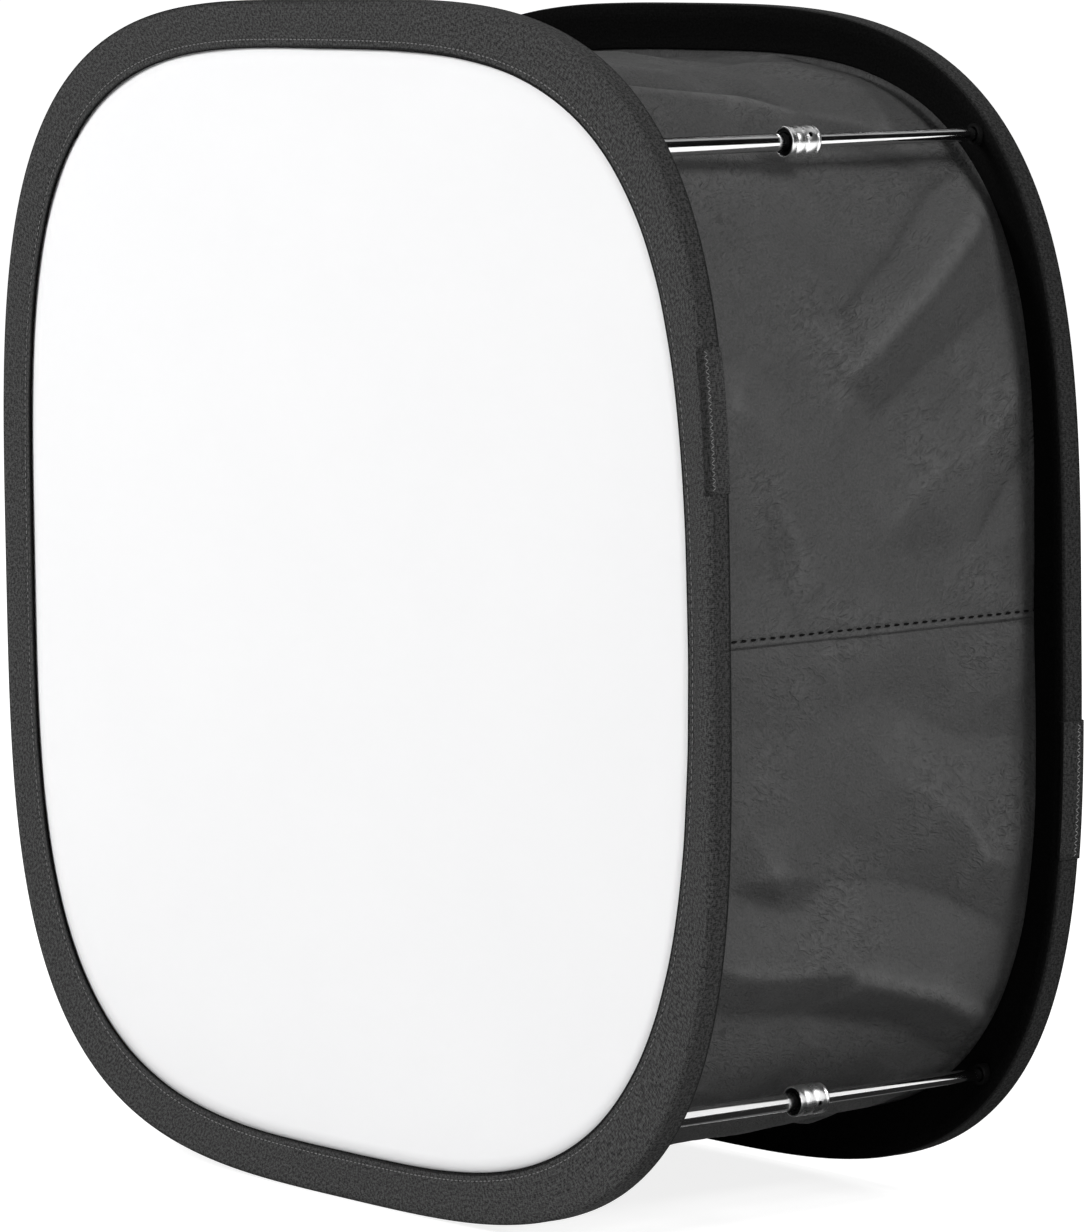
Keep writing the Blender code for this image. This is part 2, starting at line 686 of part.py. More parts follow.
def rounded_rectangle(width, height, corner, steps):
    """Points and outward normals round a rectangle with round corners."""
    places = []
    for k in range(4):
        across = 1 if k in (0, 3) else -1
        up = 1 if k in (0, 1) else -1
        centre = Vector((across * (width / 2 - corner), up * (height / 2 - corner)))
        for i in range(steps + 1):
            angle = (k + i / steps) * math.pi / 2
            normal = Vector((math.cos(angle), math.sin(angle)))
            places.append((centre + corner * normal, normal))
    return places


def make_front_cloth(front_frame, white):
    start = FRONT_Y + FRONT.cloth_from
    mesh = extruded("front_diffuser", [cloth_outline(FRONT)], start, DIFFUSER_CLOTH)
    add_object("front_diffuser", mesh, white, front_frame)


def make_rear_panel(rear_frame, cloth, elastic):
    edge = rounded_rectangle(OPENING_WIDTH, OPENING_HEIGHT, OPENING_CORNER, OPENING_CORNER_STEPS)
    opening = [(point.x, CENTRE_Z + point.y) for point, _ in edge]
    back = REAR_Y - REAR.cloth_from
    front = back - PANEL_CLOTH
    mesh = extruded("rear_panel", [cloth_outline(REAR), opening], front, PANEL_CLOTH)
    add_object("rear_panel", mesh, cloth, rear_frame)
    near, far = front - GAP, back + GAP
    section = [
        (BINDING_WIDTH, near), (-GAP, near), (-GAP, far), (BINDING_WIDTH, far),
        (BINDING_WIDTH, far + BINDING_CLOTH), (-GAP - BINDING_CLOTH, far + BINDING_CLOTH),
        (-GAP - BINDING_CLOTH, near - BINDING_CLOTH), (BINDING_WIDTH, near - BINDING_CLOTH),
    ]
    loops = []
    for point, normal in edge:
        loop = []
        for out, y in section:
            place = point + out * normal
            loop.append((place.x, y, CENTRE_Z + place.y))
        loops.append(loop)
    add_object("opening_binding", swept("opening_binding", loops, True), elastic, rear_frame)


def strap_mesh():
    """A strap bowed back round the light, in the frame of its hinge line."""
    start, end = GAP + STRAP_ROOT, -2 * HINGE_X - STRAP_ROOT
    pad_level = 2 * GAP + 2 * HOOK_THICK - TAB_THICK
    path = [Vector((GAP, GAP))]
    for i in range(STRAP_STEPS + 1):
        share = -math.cos(math.pi * i / STRAP_STEPS)
        x = start + (end - start) * (share + 1) / 2
        rise = (1 - abs(share) ** STRAP_POWER) ** 2
        level = pad_level * ease((share + 1) / 2)
        path.append(Vector((x, GAP + level + STRAP_BOW * rise)))
    path.append(Vector((-2 * HINGE_X + PAD_LENGTH, GAP + pad_level)))
    loops = []
    for i, point in enumerate(path):
        before, after = path[max(i - 1, 0)], path[min(i + 1, len(path) - 1)]
        along = (after - before).normalized()
        out = Vector((-along.y, along.x)) * STRAP_CLOTH
        corners = [(point, -1), (point + out, -1), (point + out, 1), (point, 1)]
        loops.append([(place.x, place.y, side * STRAP_WIDTH / 2) for place, side in corners])
    return swept("strap", loops, False)


def patch_mesh(name, length, width, thickness):
    """A flat sewn patch, from its near edge along +X and its face towards +Y."""
    outline = rounded_rectangle(length, width, PAD_CORNER, PAD_CORNER_STEPS)
    points = [(point.x + length / 2, point.y) for point, _ in outline]
    return extruded(name, [points], 0, thickness)


def make_straps(rear_frame, webbing, hook_and_loop):
    strap = strap_mesh()
    back = REAR_Y - PANEL_INSET
    tab = patch_mesh("strap_anchor", TAB_LENGTH, STRAP_WIDTH, TAB_THICK)
    loop_patch = patch_mesh("loop_patch", PAD_LENGTH, STRAP_WIDTH, HOOK_THICK)
    hook_pad = patch_mesh("hook_pad", PAD_LENGTH, STRAP_WIDTH, HOOK_THICK)
    pad_x = -HINGE_X
    for name, side in (("upper", 1), ("lower", -1)):
        height = CENTRE_Z + side * STRAP_HEIGHT
        tab_place = Matrix.Translation((HINGE_X - TAB_LENGTH, back + GAP, height))
        add_object(f"strap_{name}_anchor", tab, webbing, rear_frame, tab_place)
        loop_place = Matrix.Translation((pad_x, back + GAP, height))
        add_object(f"loop_patch_{name}", loop_patch, hook_and_loop, rear_frame, loop_place)
        hinge = Vector((HINGE_X, back + GAP + TAB_THICK, height))
        swinging = add_object(f"strap_{name}", strap, webbing, None, Matrix.Translation(hinge))
        pad_place = Matrix.Translation((pad_x - HINGE_X, GAP + HOOK_THICK - TAB_THICK, 0))
        pad = add_object(f"hook_pad_{name}", hook_pad, hook_and_loop, None, pad_place)
        pad.parent = swinging


def main():
    remove_everything()
    black_steel = finish("black_steel", (0.03, 0.03, 0.032), 0.45, 0.8)
    bright_steel = finish("bright_steel", (0.78, 0.78, 0.79), 0.16, 1.0)
    silver = finish("silver", (0.86, 0.86, 0.87), 0.22, 1.0)
    nylon = finish("black_nylon", (0.02, 0.02, 0.021), 0.5)
    tape = finish("rim_tape", (0.045, 0.045, 0.047), 0.85)
    white = finish("white_cloth", (0.93, 0.93, 0.94), 0.8)
    coated = finish("coated_cloth", (0.06, 0.06, 0.062), 0.6)
    webbing = finish("webbing", (0.03, 0.03, 0.032), 0.85)
    hook_and_loop = finish("hook_and_loop", (0.02, 0.02, 0.022), 0.95)
    elastic = finish("elastic", (0.028, 0.028, 0.03), 0.9)

    front_frame = add_empty("front_frame")
    rear_frame = add_empty("rear_frame")
    front_holes = cup_holes(FRONT, TUBE_DIAMETER / 2)
    rear_holes = cup_holes(REAR, ROD_DIAMETER / 2)
    make_rim("front", FRONT, FRONT_SPLICE_HEIGHT, front_holes, front_frame, black_steel, tape)
    make_rim("rear", REAR, REAR_SPLICE_HEIGHT, rear_holes, rear_frame, black_steel, tape)
    make_front_cloth(front_frame, white)
    make_tunnel(rear_frame, coated)
    make_rear_panel(rear_frame, coated, elastic)
    make_rods(front_frame, rear_frame, silver, bright_steel, nylon)
    make_straps(rear_frame, webbing, hook_and_loop)


main()
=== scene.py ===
# Softbox for a flat panel light: the looks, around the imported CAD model.
# Metres. The white front faces -Y and +Z is up. Every piece rides on the CAD body that carries it.
import math

import bmesh
import bpy
import numpy as np
from mathutils import Matrix, Vector, noise
from mathutils.geometry import delaunay_2d_cdt


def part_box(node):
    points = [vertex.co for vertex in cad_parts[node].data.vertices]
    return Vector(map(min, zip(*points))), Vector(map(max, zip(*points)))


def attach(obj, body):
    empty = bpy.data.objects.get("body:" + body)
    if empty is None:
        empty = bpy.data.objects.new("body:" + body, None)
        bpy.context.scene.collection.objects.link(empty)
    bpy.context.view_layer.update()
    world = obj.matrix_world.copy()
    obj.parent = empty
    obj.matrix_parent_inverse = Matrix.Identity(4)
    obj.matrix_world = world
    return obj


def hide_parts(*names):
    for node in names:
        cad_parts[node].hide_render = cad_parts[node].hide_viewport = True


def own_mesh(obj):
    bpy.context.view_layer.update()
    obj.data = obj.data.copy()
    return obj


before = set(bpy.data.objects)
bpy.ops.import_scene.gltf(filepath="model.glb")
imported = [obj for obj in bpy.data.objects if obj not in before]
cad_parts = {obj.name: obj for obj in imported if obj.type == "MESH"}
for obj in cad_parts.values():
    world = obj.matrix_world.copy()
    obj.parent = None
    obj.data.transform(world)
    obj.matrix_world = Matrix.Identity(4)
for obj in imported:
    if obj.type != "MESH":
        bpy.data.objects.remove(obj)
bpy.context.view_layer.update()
print("frame loaded:", len(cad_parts), "CAD nodes")

mm = 0.001


def newObject(name, data):
    made = bpy.data.objects.new(name, data)
    bpy.context.scene.collection.objects.link(made)
    return made


photoCamera = {
    "place": (1.9818, -1.5138, 0.4499),
    "look": (-0.7916, 0.6024, -0.1027),
    "up": (-0.0741, 0.0722, 0.9946),
    "lens": 212.3, "sensor": 36,  # mm, the sensor's long side
    "near": 0.05, "far": 400,
}


def makeCamera(setup):
    data = bpy.data.cameras.new("photoCamera")
    data.lens, data.sensor_width = setup["lens"], setup["sensor"]
    data.clip_start, data.clip_end = setup["near"], setup["far"]
    look = Vector(setup["look"]).normalized()
    right = look.cross(Vector(setup["up"])).normalized()
    matrix = Matrix((right, right.cross(look), -look)).transposed().to_4x4()
    matrix.translation = Vector(setup["place"])
    camera = newObject("photoCamera", data)
    camera.matrix_world = matrix
    bpy.context.scene.camera = camera


makeCamera(photoCamera)
bpy.context.scene.view_settings.view_transform = "Standard"


# Nodes. A value in inputs is a number, a colour, or another node's output socket.
def addNode(tree, kind, inputs=None, **settings):
    made = tree.nodes.new(kind)
    for key, value in settings.items():
        setattr(made, key, value)
    for key, value in (inputs or {}).items():
        if isinstance(value, bpy.types.NodeSocket):
            tree.links.new(value, made.inputs[key])
        else:
            made.inputs[key].default_value = value
    return made


def linkAll(tree, inputs, **values):
    for key, value in values.items():
        tree.links.new(value, inputs[key.replace("_", " ")])


def nodeOut(tree, kind, inputs=None, **settings):
    return addNode(tree, kind, inputs, **settings).outputs[0]


def calc(tree, operation, *values, clamp=False):
    inputs = dict(enumerate(values))
    return nodeOut(tree, "ShaderNodeMath", inputs, operation=operation, use_clamp=clamp)


def times(tree, first, second):
    return calc(tree, "MULTIPLY", first, second)


def timesAdd(tree, value, factor, more):
    return calc(tree, "MULTIPLY_ADD", value, factor, more)


def scaled(tree, vector, factors):
    return nodeOut(tree, "ShaderNodeVectorMath", {0: vector, 1: factors}, operation="MULTIPLY")


def remap(tree, value, low, high, toLow=0.0, toHigh=1.0):
    inputs = {"Value": value, "From Min": low, "From Max": high, "To Min": toLow, "To Max": toHigh}
    return nodeOut(tree, "ShaderNodeMapRange", inputs, interpolation_type="SMOOTHSTEP")


def noiseAt(tree, vector, scale, detail=2.0, distortion=0.0, roughness=0.5):
    inputs = {
        "Vector": vector, "Scale": scale, "Detail": detail,
        "Distortion": distortion, "Roughness": roughness,
    }
    return nodeOut(tree, "ShaderNodeTexNoise", inputs)


# The sockets of a group are numbers, apart from these
socketKinds = {
    "Vector": "Vector", "Facing": "Vector", "Geometry": "Geometry", "Material": "Material", "Seed": "Int",
}


def newGroup(kind, name, gives, **takes):
    tree = bpy.data.node_groups.new(name, kind + "NodeTree")
    sockets = [(label, "INPUT", value) for label, value in takes.items()]
    for label, way, value in sockets + [(label, "OUTPUT", None) for label in gives]:
        socketKind = "NodeSocket" + socketKinds.get(label, "Float")
        socket = tree.interface.new_socket(label, in_out=way, socket_type=socketKind)
        if value is not None:
            socket.default_value = value
    return tree, tree.nodes.new("NodeGroupInput").outputs, tree.nodes.new("NodeGroupOutput").inputs


# Woven threads, two over and two under, with uneven yarn
def makeTwillGroup():
    tree, takes, gives = newGroup(
        "Shader", "twillWeave", ["Height", "Yarn"], Vector=None, Pitch=0.6 * mm, Unevenness=0.5)
    parts = addNode(tree, "ShaderNodeSeparateXYZ", {0: takes["Vector"]}).outputs
    across, along = (calc(tree, "DIVIDE", parts[i], takes["Pitch"]) for i in (0, 1))
    steps = calc(tree, "ADD", calc(tree, "FLOOR", across), calc(tree, "FLOOR", along))
    over = calc(tree, "LESS_THAN", calc(tree, "FRACT", times(tree, steps, 0.25)), 0.5)
    warp, weft = (
        calc(tree, "SINE", times(tree, calc(tree, "FRACT", value), math.pi)) for value in (across, along)
    )
    threads = timesAdd(tree, over, warp, times(tree, calc(tree, "SUBTRACT", 1.0, over), weft))
    uneven = noiseAt(tree, takes["Vector"], calc(tree, "DIVIDE", 0.62, takes["Pitch"]), 2.0, 0.2, 0.65)
    slubs = remap(tree, uneven, 0.34, 0.66)
    mixed = nodeOut(tree, "ShaderNodeMix", {0: takes["Unevenness"], 2: threads, 3: slubs})
    linkAll(tree, gives, Height=mixed, Yarn=slubs)
    return tree


# The fine leather-like ripples of coated cloth, which come and go in patches
def makeCrinkleGroup():
    tree, takes, gives = newGroup(
        "Shader", "clothCrinkle", ["Height", "Ripples", "Grain", "Blotch"],
        Vector=None, Ripple=1.2 * mm, Patch=35 * mm)
    place = takes["Vector"]
    slanted = addNode(tree, "ShaderNodeVectorRotate", {"Vector": place, "Angle": 0.5}, rotation_type="Z_AXIS")
    flat = scaled(tree, slanted.outputs[0], (1.0, 0.5, 1.0))
    waves = noiseAt(tree, flat, calc(tree, "DIVIDE", 0.62, takes["Ripple"]), 2.0, 1.4)
    offMiddle = calc(tree, "ABSOLUTE", timesAdd(tree, waves, 5.0, -2.5))
    ridges = calc(tree, "SUBTRACT", 1.0, offMiddle, clamp=True)
    where = remap(tree, noiseAt(tree, place, calc(tree, "DIVIDE", 1.0, takes["Patch"])), 0.44, 0.66)
    grain = remap(tree, noiseAt(tree, place, 1150.0, 3.0, 0.6, 0.6), 0.3, 0.7)
    ripples = times(tree, ridges, timesAdd(tree, where, 0.68, 0.32))
    blotch = noiseAt(tree, place, 34.0, 3.0, 0.3)
    height = timesAdd(tree, grain, -0.4, ripples)
    linkAll(tree, gives, Height=height, Ripples=ripples, Grain=grain, Blotch=blotch)
    return tree


# Specks of lint and dust
def makeLintGroup():
    tree, takes, gives = newGroup("Shader", "lint", ["Mask"], Vector=None, Spacing=6 * mm, Amount=0.06)
    cells = addNode(tree, "ShaderNodeTexVoronoi", {
        "Vector": takes["Vector"], "Scale": calc(tree, "DIVIDE", 1.0, takes["Spacing"]), "Randomness": 1.0,
    }).outputs["Distance"]
    linkAll(tree, gives, Mask=remap(tree, cells, takes["Amount"], 0.0))
    return tree


# Drawn metal: streaks along Y and a few smudges
def makeDrawnGroup():
    tree, takes, gives = newGroup("Shader", "drawnMetal", ["Streaks", "Smudge"], Vector=None, Streak=1.0)
    streaks = noiseAt(tree, scaled(tree, takes["Vector"], (2400.0, 22.0, 2400.0)), 1.0)
    smudge = remap(tree, noiseAt(tree, takes["Vector"], 60.0), 0.45, 0.75)
    linkAll(tree, gives, Streaks=times(tree, streaks, takes["Streak"]), Smudge=smudge)
    return tree


twillGroup, crinkleGroup = makeTwillGroup(), makeCrinkleGroup()
lintGroup, drawnGroup = makeLintGroup(), makeDrawnGroup()


def placeGroup(tree, group, **values):
    return addNode(tree, "ShaderNodeGroup", values, node_tree=group).outputs


def coordinatesOf(tree, kind):
    return addNode(tree, "ShaderNodeTexCoord").outputs[kind]


def attributeOf(tree, name):
    return addNode(tree, "ShaderNodeAttribute", attribute_name=name).outputs["Fac"]


def grey(value):
    return (value, value, value, 1.0)


# Mixes two colours; a plain number is a grey
def mixColour(tree, share, first, second):
    first, second = (grey(value) if isinstance(value, float) else value for value in (first, second))
    return addNode(tree, "ShaderNodeMix", {0: share, 6: first, 7: second}, data_type="RGBA").outputs[2]


# Lint: its spacing, how much of it, how far it shows and its grey
def dusted(tree, place, colour, spacing, amount, share, tone):
    lint = placeGroup(tree, lintGroup, Vector=place, Spacing=spacing, Amount=amount)
    return mixColour(tree, times(tree, lint["Mask"], share), colour, tone)


def newMaterial(name, coordinates, **plain):
    material = bpy.data.materials.new(name)
    material.use_nodes = True
    tree = material.node_tree
    shader = tree.nodes["Principled BSDF"]
    for key, value in plain.items():
        shader.inputs[key.replace("_", " ")].default_value = value
    return material, tree, shader, coordinatesOf(tree, coordinates)


def dress(tree, shader, colour, roughness, height, relief):
    bump = nodeOut(tree, "ShaderNodeBump", {"Height": height, "Distance": relief, "Strength": 1.0})
    linkAll(tree, shader.inputs, Base_Color=colour, Roughness=roughness, Normal=bump)


# Woven cloth: the tape, its black lining side, which also paints the rear rim's shade, and the white front
def makeWovenMaterial(
        name, tones, pitch, uneven, roughness, relief, lint=None, cloud=None, edge=None, **plain):
    material, tree, shader, place = newMaterial(name, "UV", **plain)
    weave = placeGroup(tree, twillGroup, Vector=place, Pitch=pitch, Unevenness=uneven)
    colour = mixColour(tree, noiseAt(tree, place, cloud) if cloud else weave["Height"], *tones)
    if lint:
        colour = dusted(tree, place, colour, *lint)
    # painted shade: where shade falls on the tape, its attribute mixes in a near-black
    if edge:
        colour = mixColour(tree, attributeOf(tree, "paintedShade"), colour, edge)
    dress(tree, shader, colour, remap(tree, weave["Yarn"], 0.0, 1.0, *roughness), weave["Height"], relief)
    return material


# edge: the near-black that the tape's painted shade mixes in
tapeLook = {
    "pitch": 0.60 * mm, "uneven": 0.6, "edge": 0.003, "roughness": (0.88, 0.72), "relief": 0.20 * mm,
    "lint": (9 * mm, 0.05, 0.35, 0.22),
    "Specular_IOR_Level": 0.03, "Sheen_Weight": 0.02, "Sheen_Roughness": 0.5,
}
# black lining, also put on the rear rim's side facing the tunnel as painted shade
liningAndShadeLook = {
    "tones": (0.003, 0.008), "pitch": 0.60 * mm, "uneven": 0.6, "roughness": (0.98, 0.9),
    "relief": 0.15 * mm, "Specular_IOR_Level": 0.0,
}
frontClothLook = {
    "tones": ((0.93, 0.93, 0.938, 1), (0.955, 0.955, 0.96, 1)), "cloud": 14.0, "pitch": 0.34 * mm,
    "uneven": 0.25, "roughness": (0.72, 0.84), "relief": 0.03 * mm, "lint": (30 * mm, 0.012, 0.12, 0.6),
    "Specular_IOR_Level": 0.2, "Sheen_Weight": 0.05,
}
# The cloth's painted light: a pale painted highlight on crests, coming and going in patches, painted shade in
# valleys, and facets painted lighter or darker by how they face the light
coatedLook = {
    "ripple": 1.7 * mm, "patch": 46 * mm, "roughness": (0.78, 0.64), "relief": 0.58 * mm,
    "base": 0.060, "light": 0.090, "crest": 0.125, "valley": 0.034, "worn": 0.150, "valleyShadeTone": 0.030,
    "grains": 0.5, "ripples": 0.5, "valleyShadeShare": 0.42, "crestHighlightShare": 0.40, "litFacetShare": 0.30, "turned": 0.42,
    "crestPatchScale": 260.0, "lint": (12 * mm, 0.035, 0.3, 0.2),
}


# Bend is above 0 on a crest, and the facet light above 0 where a facet is turned to the light. From them the
# cloth gets painted light: a painted highlight on crests, painted shade in valleys, and facets painted
# lighter or darker.
def makeCoatedMaterial(look):
    material, tree, shader, place = newMaterial("coatedCloth", "UV", Specular_IOR_Level=0.02)
    crinkle = placeGroup(tree, crinkleGroup, Vector=place, Ripple=look["ripple"], Patch=look["patch"])
    bend, facetLight = attributeOf(tree, "bend"), attributeOf(tree, "facetLight")
    # patches where the painted crest highlight shows
    crestPatches = remap(tree, noiseAt(tree, place, look["crestPatchScale"], 3.0), 0.25, 0.6, 0.35, 1.0)
    colour = mixColour(tree, crinkle["Blotch"], look["base"], look["light"])
    for share, strength, tone in (
        (crinkle["Grain"], "grains", "valley"), (crinkle["Ripples"], "ripples", "crest"),
        # painted shade in valleys, then a painted highlight on crests in patches
        (remap(tree, bend, -0.1, -1.0), "valleyShadeShare", "valleyShadeTone"),
        (times(tree, remap(tree, bend, 0.1, 1.0), crestPatches), "crestHighlightShare", "worn"),
        # facets painted lighter where turned to the light above, darker where turned from it
        (remap(tree, facetLight, 0.0, 1.0), "litFacetShare", "crest"), (remap(tree, facetLight, 0.0, -1.0), "turned", "valley"),
    ):
        colour = mixColour(tree, times(tree, share, look[strength]), colour, look[tone])
    roughness = remap(tree, crinkle["Blotch"], 0.2, 0.8, *look["roughness"])
    dusty = dusted(tree, place, colour, *look["lint"])
    dress(tree, shader, dusty, roughness, crinkle["Height"], look["relief"])
    return material


def makeSilverLiningMaterial():
    material, tree, shader, place = newMaterial("silverLining", "UV", Metallic=0.75)
    crinkle = placeGroup(tree, crinkleGroup, Vector=place, Ripple=1.6 * mm, Patch=30 * mm)
    tone = mixColour(tree, crinkle["Blotch"], 0.50, 0.62)
    roughness = remap(tree, crinkle["Blotch"], 0.2, 0.8, 0.42, 0.55)
    dress(tree, shader, tone, roughness, crinkle["Height"], 0.2 * mm)
    return material


# Webbing has ribs across it, elastic binding fine ribs along it
def makeRibbedMaterial(name, base, light, rib, across, relief):
    material, tree, shader, place = newMaterial(
        name, "UV", Specular_IOR_Level=0.2, Sheen_Weight=0.12, Sheen_Roughness=0.45)
    weave = placeGroup(tree, twillGroup, Vector=place, Pitch=0.5 * mm, Unevenness=0.4)
    run = addNode(tree, "ShaderNodeSeparateXYZ", {0: place}).outputs[across]
    ribs = timesAdd(tree, calc(tree, "SINE", times(tree, run, math.tau / rib)), 0.5, 0.5)
    height = timesAdd(tree, ribs, 0.7, times(tree, weave["Height"], 0.3))
    dusty = dusted(tree, place, mixColour(tree, height, base, light), 8 * mm, 0.05, 0.35, 0.2)
    dress(tree, shader, dusty, remap(tree, weave["Yarn"], 0.0, 1.0, 0.85, 0.68), height, relief)
    return material


# Hook tape is a field of stiff points, loop tape a matted fleece
def makePileMaterial(name, scale, relief, light):
    material, tree, shader, place = newMaterial(
        name, "Object", Specular_IOR_Level=0.25, Sheen_Weight=0.25, Sheen_Roughness=0.4)
    cells = addNode(tree, "ShaderNodeTexVoronoi", {"Vector": place, "Scale": scale}).outputs["Distance"]
    fuzz = noiseAt(tree, place, scale * 1.7, 3.0, 1.2)
    height = timesAdd(tree, fuzz, 0.6, calc(tree, "SUBTRACT", 0.6, cells))
    colour = mixColour(tree, times(tree, height, 0.9), 0.008, light)
    dress(tree, shader, colour, remap(tree, fuzz, 0.3, 0.7, 0.95, 0.78), height, relief)
    return material


def makeThreadMaterial(name, dark, light, shine=0.35):
    material, tree, shader, place = newMaterial(name, "Object", Specular_IOR_Level=shine)
    twist = noiseAt(tree, place, 3000.0)
    colour = mixColour(tree, remap(tree, twist, 0.3, 0.7), dark, light)
    dress(tree, shader, colour, remap(tree, twist, 0.3, 0.7, 0.55, 0.75), twist, 0.08 * mm)
    return material


def makeMetalMaterial(name, tone, worn, roughness, streak):
    material, tree, shader, place = newMaterial(name, "Object", Metallic=1.0)
    drawn = placeGroup(tree, drawnGroup, Vector=place, Streak=streak)
    rough = timesAdd(tree, drawn["Smudge"], 0.06, timesAdd(tree, drawn["Streaks"], 0.10, roughness))
    dress(tree, shader, mixColour(tree, drawn["Smudge"], tone, worn), rough, drawn["Streaks"], 0.006 * mm)
    return material


def makeNylonMaterial():
    material, tree, shader, place = newMaterial("blackNylon", "Object", Specular_IOR_Level=0.04)
    patches, grain = noiseAt(tree, place, 90.0), noiseAt(tree, place, 2200.0, 3.0)
    roughness = remap(tree, patches, 0.3, 0.7, 0.52, 0.66)
    dress(tree, shader, mixColour(tree, patches, 0.0025, 0.006), roughness, grain, 0.03 * mm)
    return material


looks = {
    "frontTape": makeWovenMaterial("frontTape", tones=(0.002, 0.092), **tapeLook),
    "rearTape": makeWovenMaterial("rearTape", tones=(0.002, 0.086), **tapeLook),
    "lining": makeWovenMaterial("blackLiningAndShade", **liningAndShadeLook),
    "frontCloth": makeWovenMaterial("whiteFrontCloth", **frontClothLook),
    "coated": makeCoatedMaterial(coatedLook),
    "silverLining": makeSilverLiningMaterial(),
    "webbing": makeRibbedMaterial("webbing", 0.012, 0.045, 1.9 * mm, 0, 0.35 * mm),
    "elastic": makeRibbedMaterial("elasticBinding", 0.011, 0.036, 0.9 * mm, 1, 0.22 * mm),
    "hook": makePileMaterial("hookTape", 1500.0, 0.5 * mm, 0.04),
    "loop": makePileMaterial("loopTape", 900.0, 0.6 * mm, 0.055),
    "paleThread": makeThreadMaterial("paleThread", 0.09, 0.26),
    "patchThread": makeThreadMaterial("patchThread", 0.10, 0.24, 0.1),
    "darkThread": makeThreadMaterial("darkThread", 0.002, 0.006, 0.03),
    "polished": makeMetalMaterial("polishedSteel", 0.86, 0.80, 0.07, 1.0),
    "collarMetal": makeMetalMaterial("brightCollar", 0.92, 0.66, 0.24, 0.5),
    "springSteel": makeMetalMaterial("springSteel", 0.32, 0.22, 0.34, 1.0),
    "nylon": makeNylonMaterial(),
}
print("materials made:", len(looks))


# Meshes from rows of points: points[i, j], i along the piece and j across it
def quadsOf(rows, columns, around, across):
    i = np.arange(rows if around else rows - 1)
    j = np.arange(columns if across else columns - 1)
    i, j = np.meshgrid(i, j, indexing="ij")
    nextI, nextJ = (i + 1) % rows, (j + 1) % columns
    corners = [(i, j), (nextI, j), (nextI, nextJ), (i, nextJ)]
    faces = np.stack([a * columns + b for a, b in corners], axis=-1).reshape(-1, 4)
    spots = [(i, j), (i + 1, j), (i + 1, j + 1), (i, j + 1)]
    steps = np.stack([np.stack([a, b], axis=-1) for a, b in spots], axis=-2).reshape(-1, 4, 2)
    return faces, steps


def runsOf(points, closed):
    following = np.roll(points, -1, axis=0) if closed else points[1:]
    steps = np.linalg.norm(following - (points if closed else points[:-1]), axis=-1).mean(axis=1)
    return np.concatenate(([0], np.cumsum(steps)))


def buildMesh(name, verts, faces, uvs, extraFaces=(), attributes=None, slots=None):
    mesh = bpy.data.meshes.new(name)
    mesh.from_pydata(verts.tolist(), [], faces.tolist() + [list(face) for face in extraFaces])
    layer = mesh.uv_layers.new(name="UVMap")
    whole = np.zeros((len(mesh.loops), 2))
    whole[: len(uvs) * 4] = uvs.reshape(-1, 2)
    layer.data.foreach_set("uv", whole.ravel())
    for key, values in (attributes or {}).items():
        made = mesh.attributes.new(key, "FLOAT", "POINT")
        made.data.foreach_set("value", np.asarray(values, float).ravel())
    if slots is not None:
        mesh.polygons.foreach_set("material_index", np.asarray(slots, int))
    mesh.validate()
    return faceOutwards(mesh)


def faceOutwards(mesh):
    form = bmesh.new()
    form.from_mesh(mesh)
    bmesh.ops.recalc_face_normals(form, faces=form.faces)
    form.to_mesh(mesh)
    form.free()
    mesh.shade_smooth()
    return mesh


# A closed section swept round the rim or along a path
def sweptMesh(name, points, around=True, attributes=None, columnSlots=None):
    rows, columns = points.shape[:2]
    faces, steps = quadsOf(rows, columns, around, True)
    along, over = runsOf(points, around), runsOf(points.transpose(1, 0, 2), True)
    uvs = np.stack([along[steps[..., 0]], over[steps[..., 1]]], axis=-1)
    ends = [] if around else [range(columns), range((rows - 1) * columns, rows * columns)]
    slots = None
    if columnSlots:
        walls = np.tile(columnSlots, rows if around else rows - 1)
        slots = np.concatenate([walls, [columnSlots[0]] * len(ends)])
    return buildMesh(name, points.reshape(-1, 3), faces, uvs, ends, attributes, slots)


# A thin sheet with two sides. Its second side may have a material of its own.
def sheetMesh(name, outside, inside, around=False, lined=False, attributes=None):
    rows, columns = outside.shape[:2]
    count = rows * columns
    faces, steps = quadsOf(rows, columns, around, False)
    along, over = runsOf(outside, around), runsOf(outside.transpose(1, 0, 2), False)
    uvs = np.stack([along[steps[..., 0]], over[steps[..., 1]]], axis=-1)
    back = faces[:, ::-1] + count
    edges = [(i * columns + j, (i + 1) % rows * columns + j)
             for i in range(rows if around else rows - 1) for j in (0, columns - 1)]
    if not around:
        edges += [(i * columns + j, i * columns + j + 1) for i in (0, rows - 1) for j in range(columns - 1)]
    rims = [(a, b, b + count, a + count) for a, b in edges]
    verts = np.concatenate([outside.reshape(-1, 3), inside.reshape(-1, 3)])
    marks = {key: np.tile(values.ravel(), 2) for key, values in (attributes or {}).items()}
    slots = [0] * len(faces) + [1] * len(back) + [0] * len(rims) if lined else None
    return buildMesh(name, verts, np.concatenate([faces, back]),
                     np.concatenate([uvs, uvs[:, ::-1]]), rims, marks, slots)


# The weave runs straight across a piece that lies flat across the tunnel
def flatUv(mesh):
    layer = mesh.uv_layers.active or mesh.uv_layers.new(name="UVMap")
    places = np.zeros(len(mesh.vertices) * 3)
    mesh.vertices.foreach_get("co", places)
    corners = np.zeros(len(mesh.loops), int)
    mesh.loops.foreach_get("vertex_index", corners)
    layer.data.foreach_set("uv", places.reshape(-1, 3)[corners][:, [0, 2]].ravel())


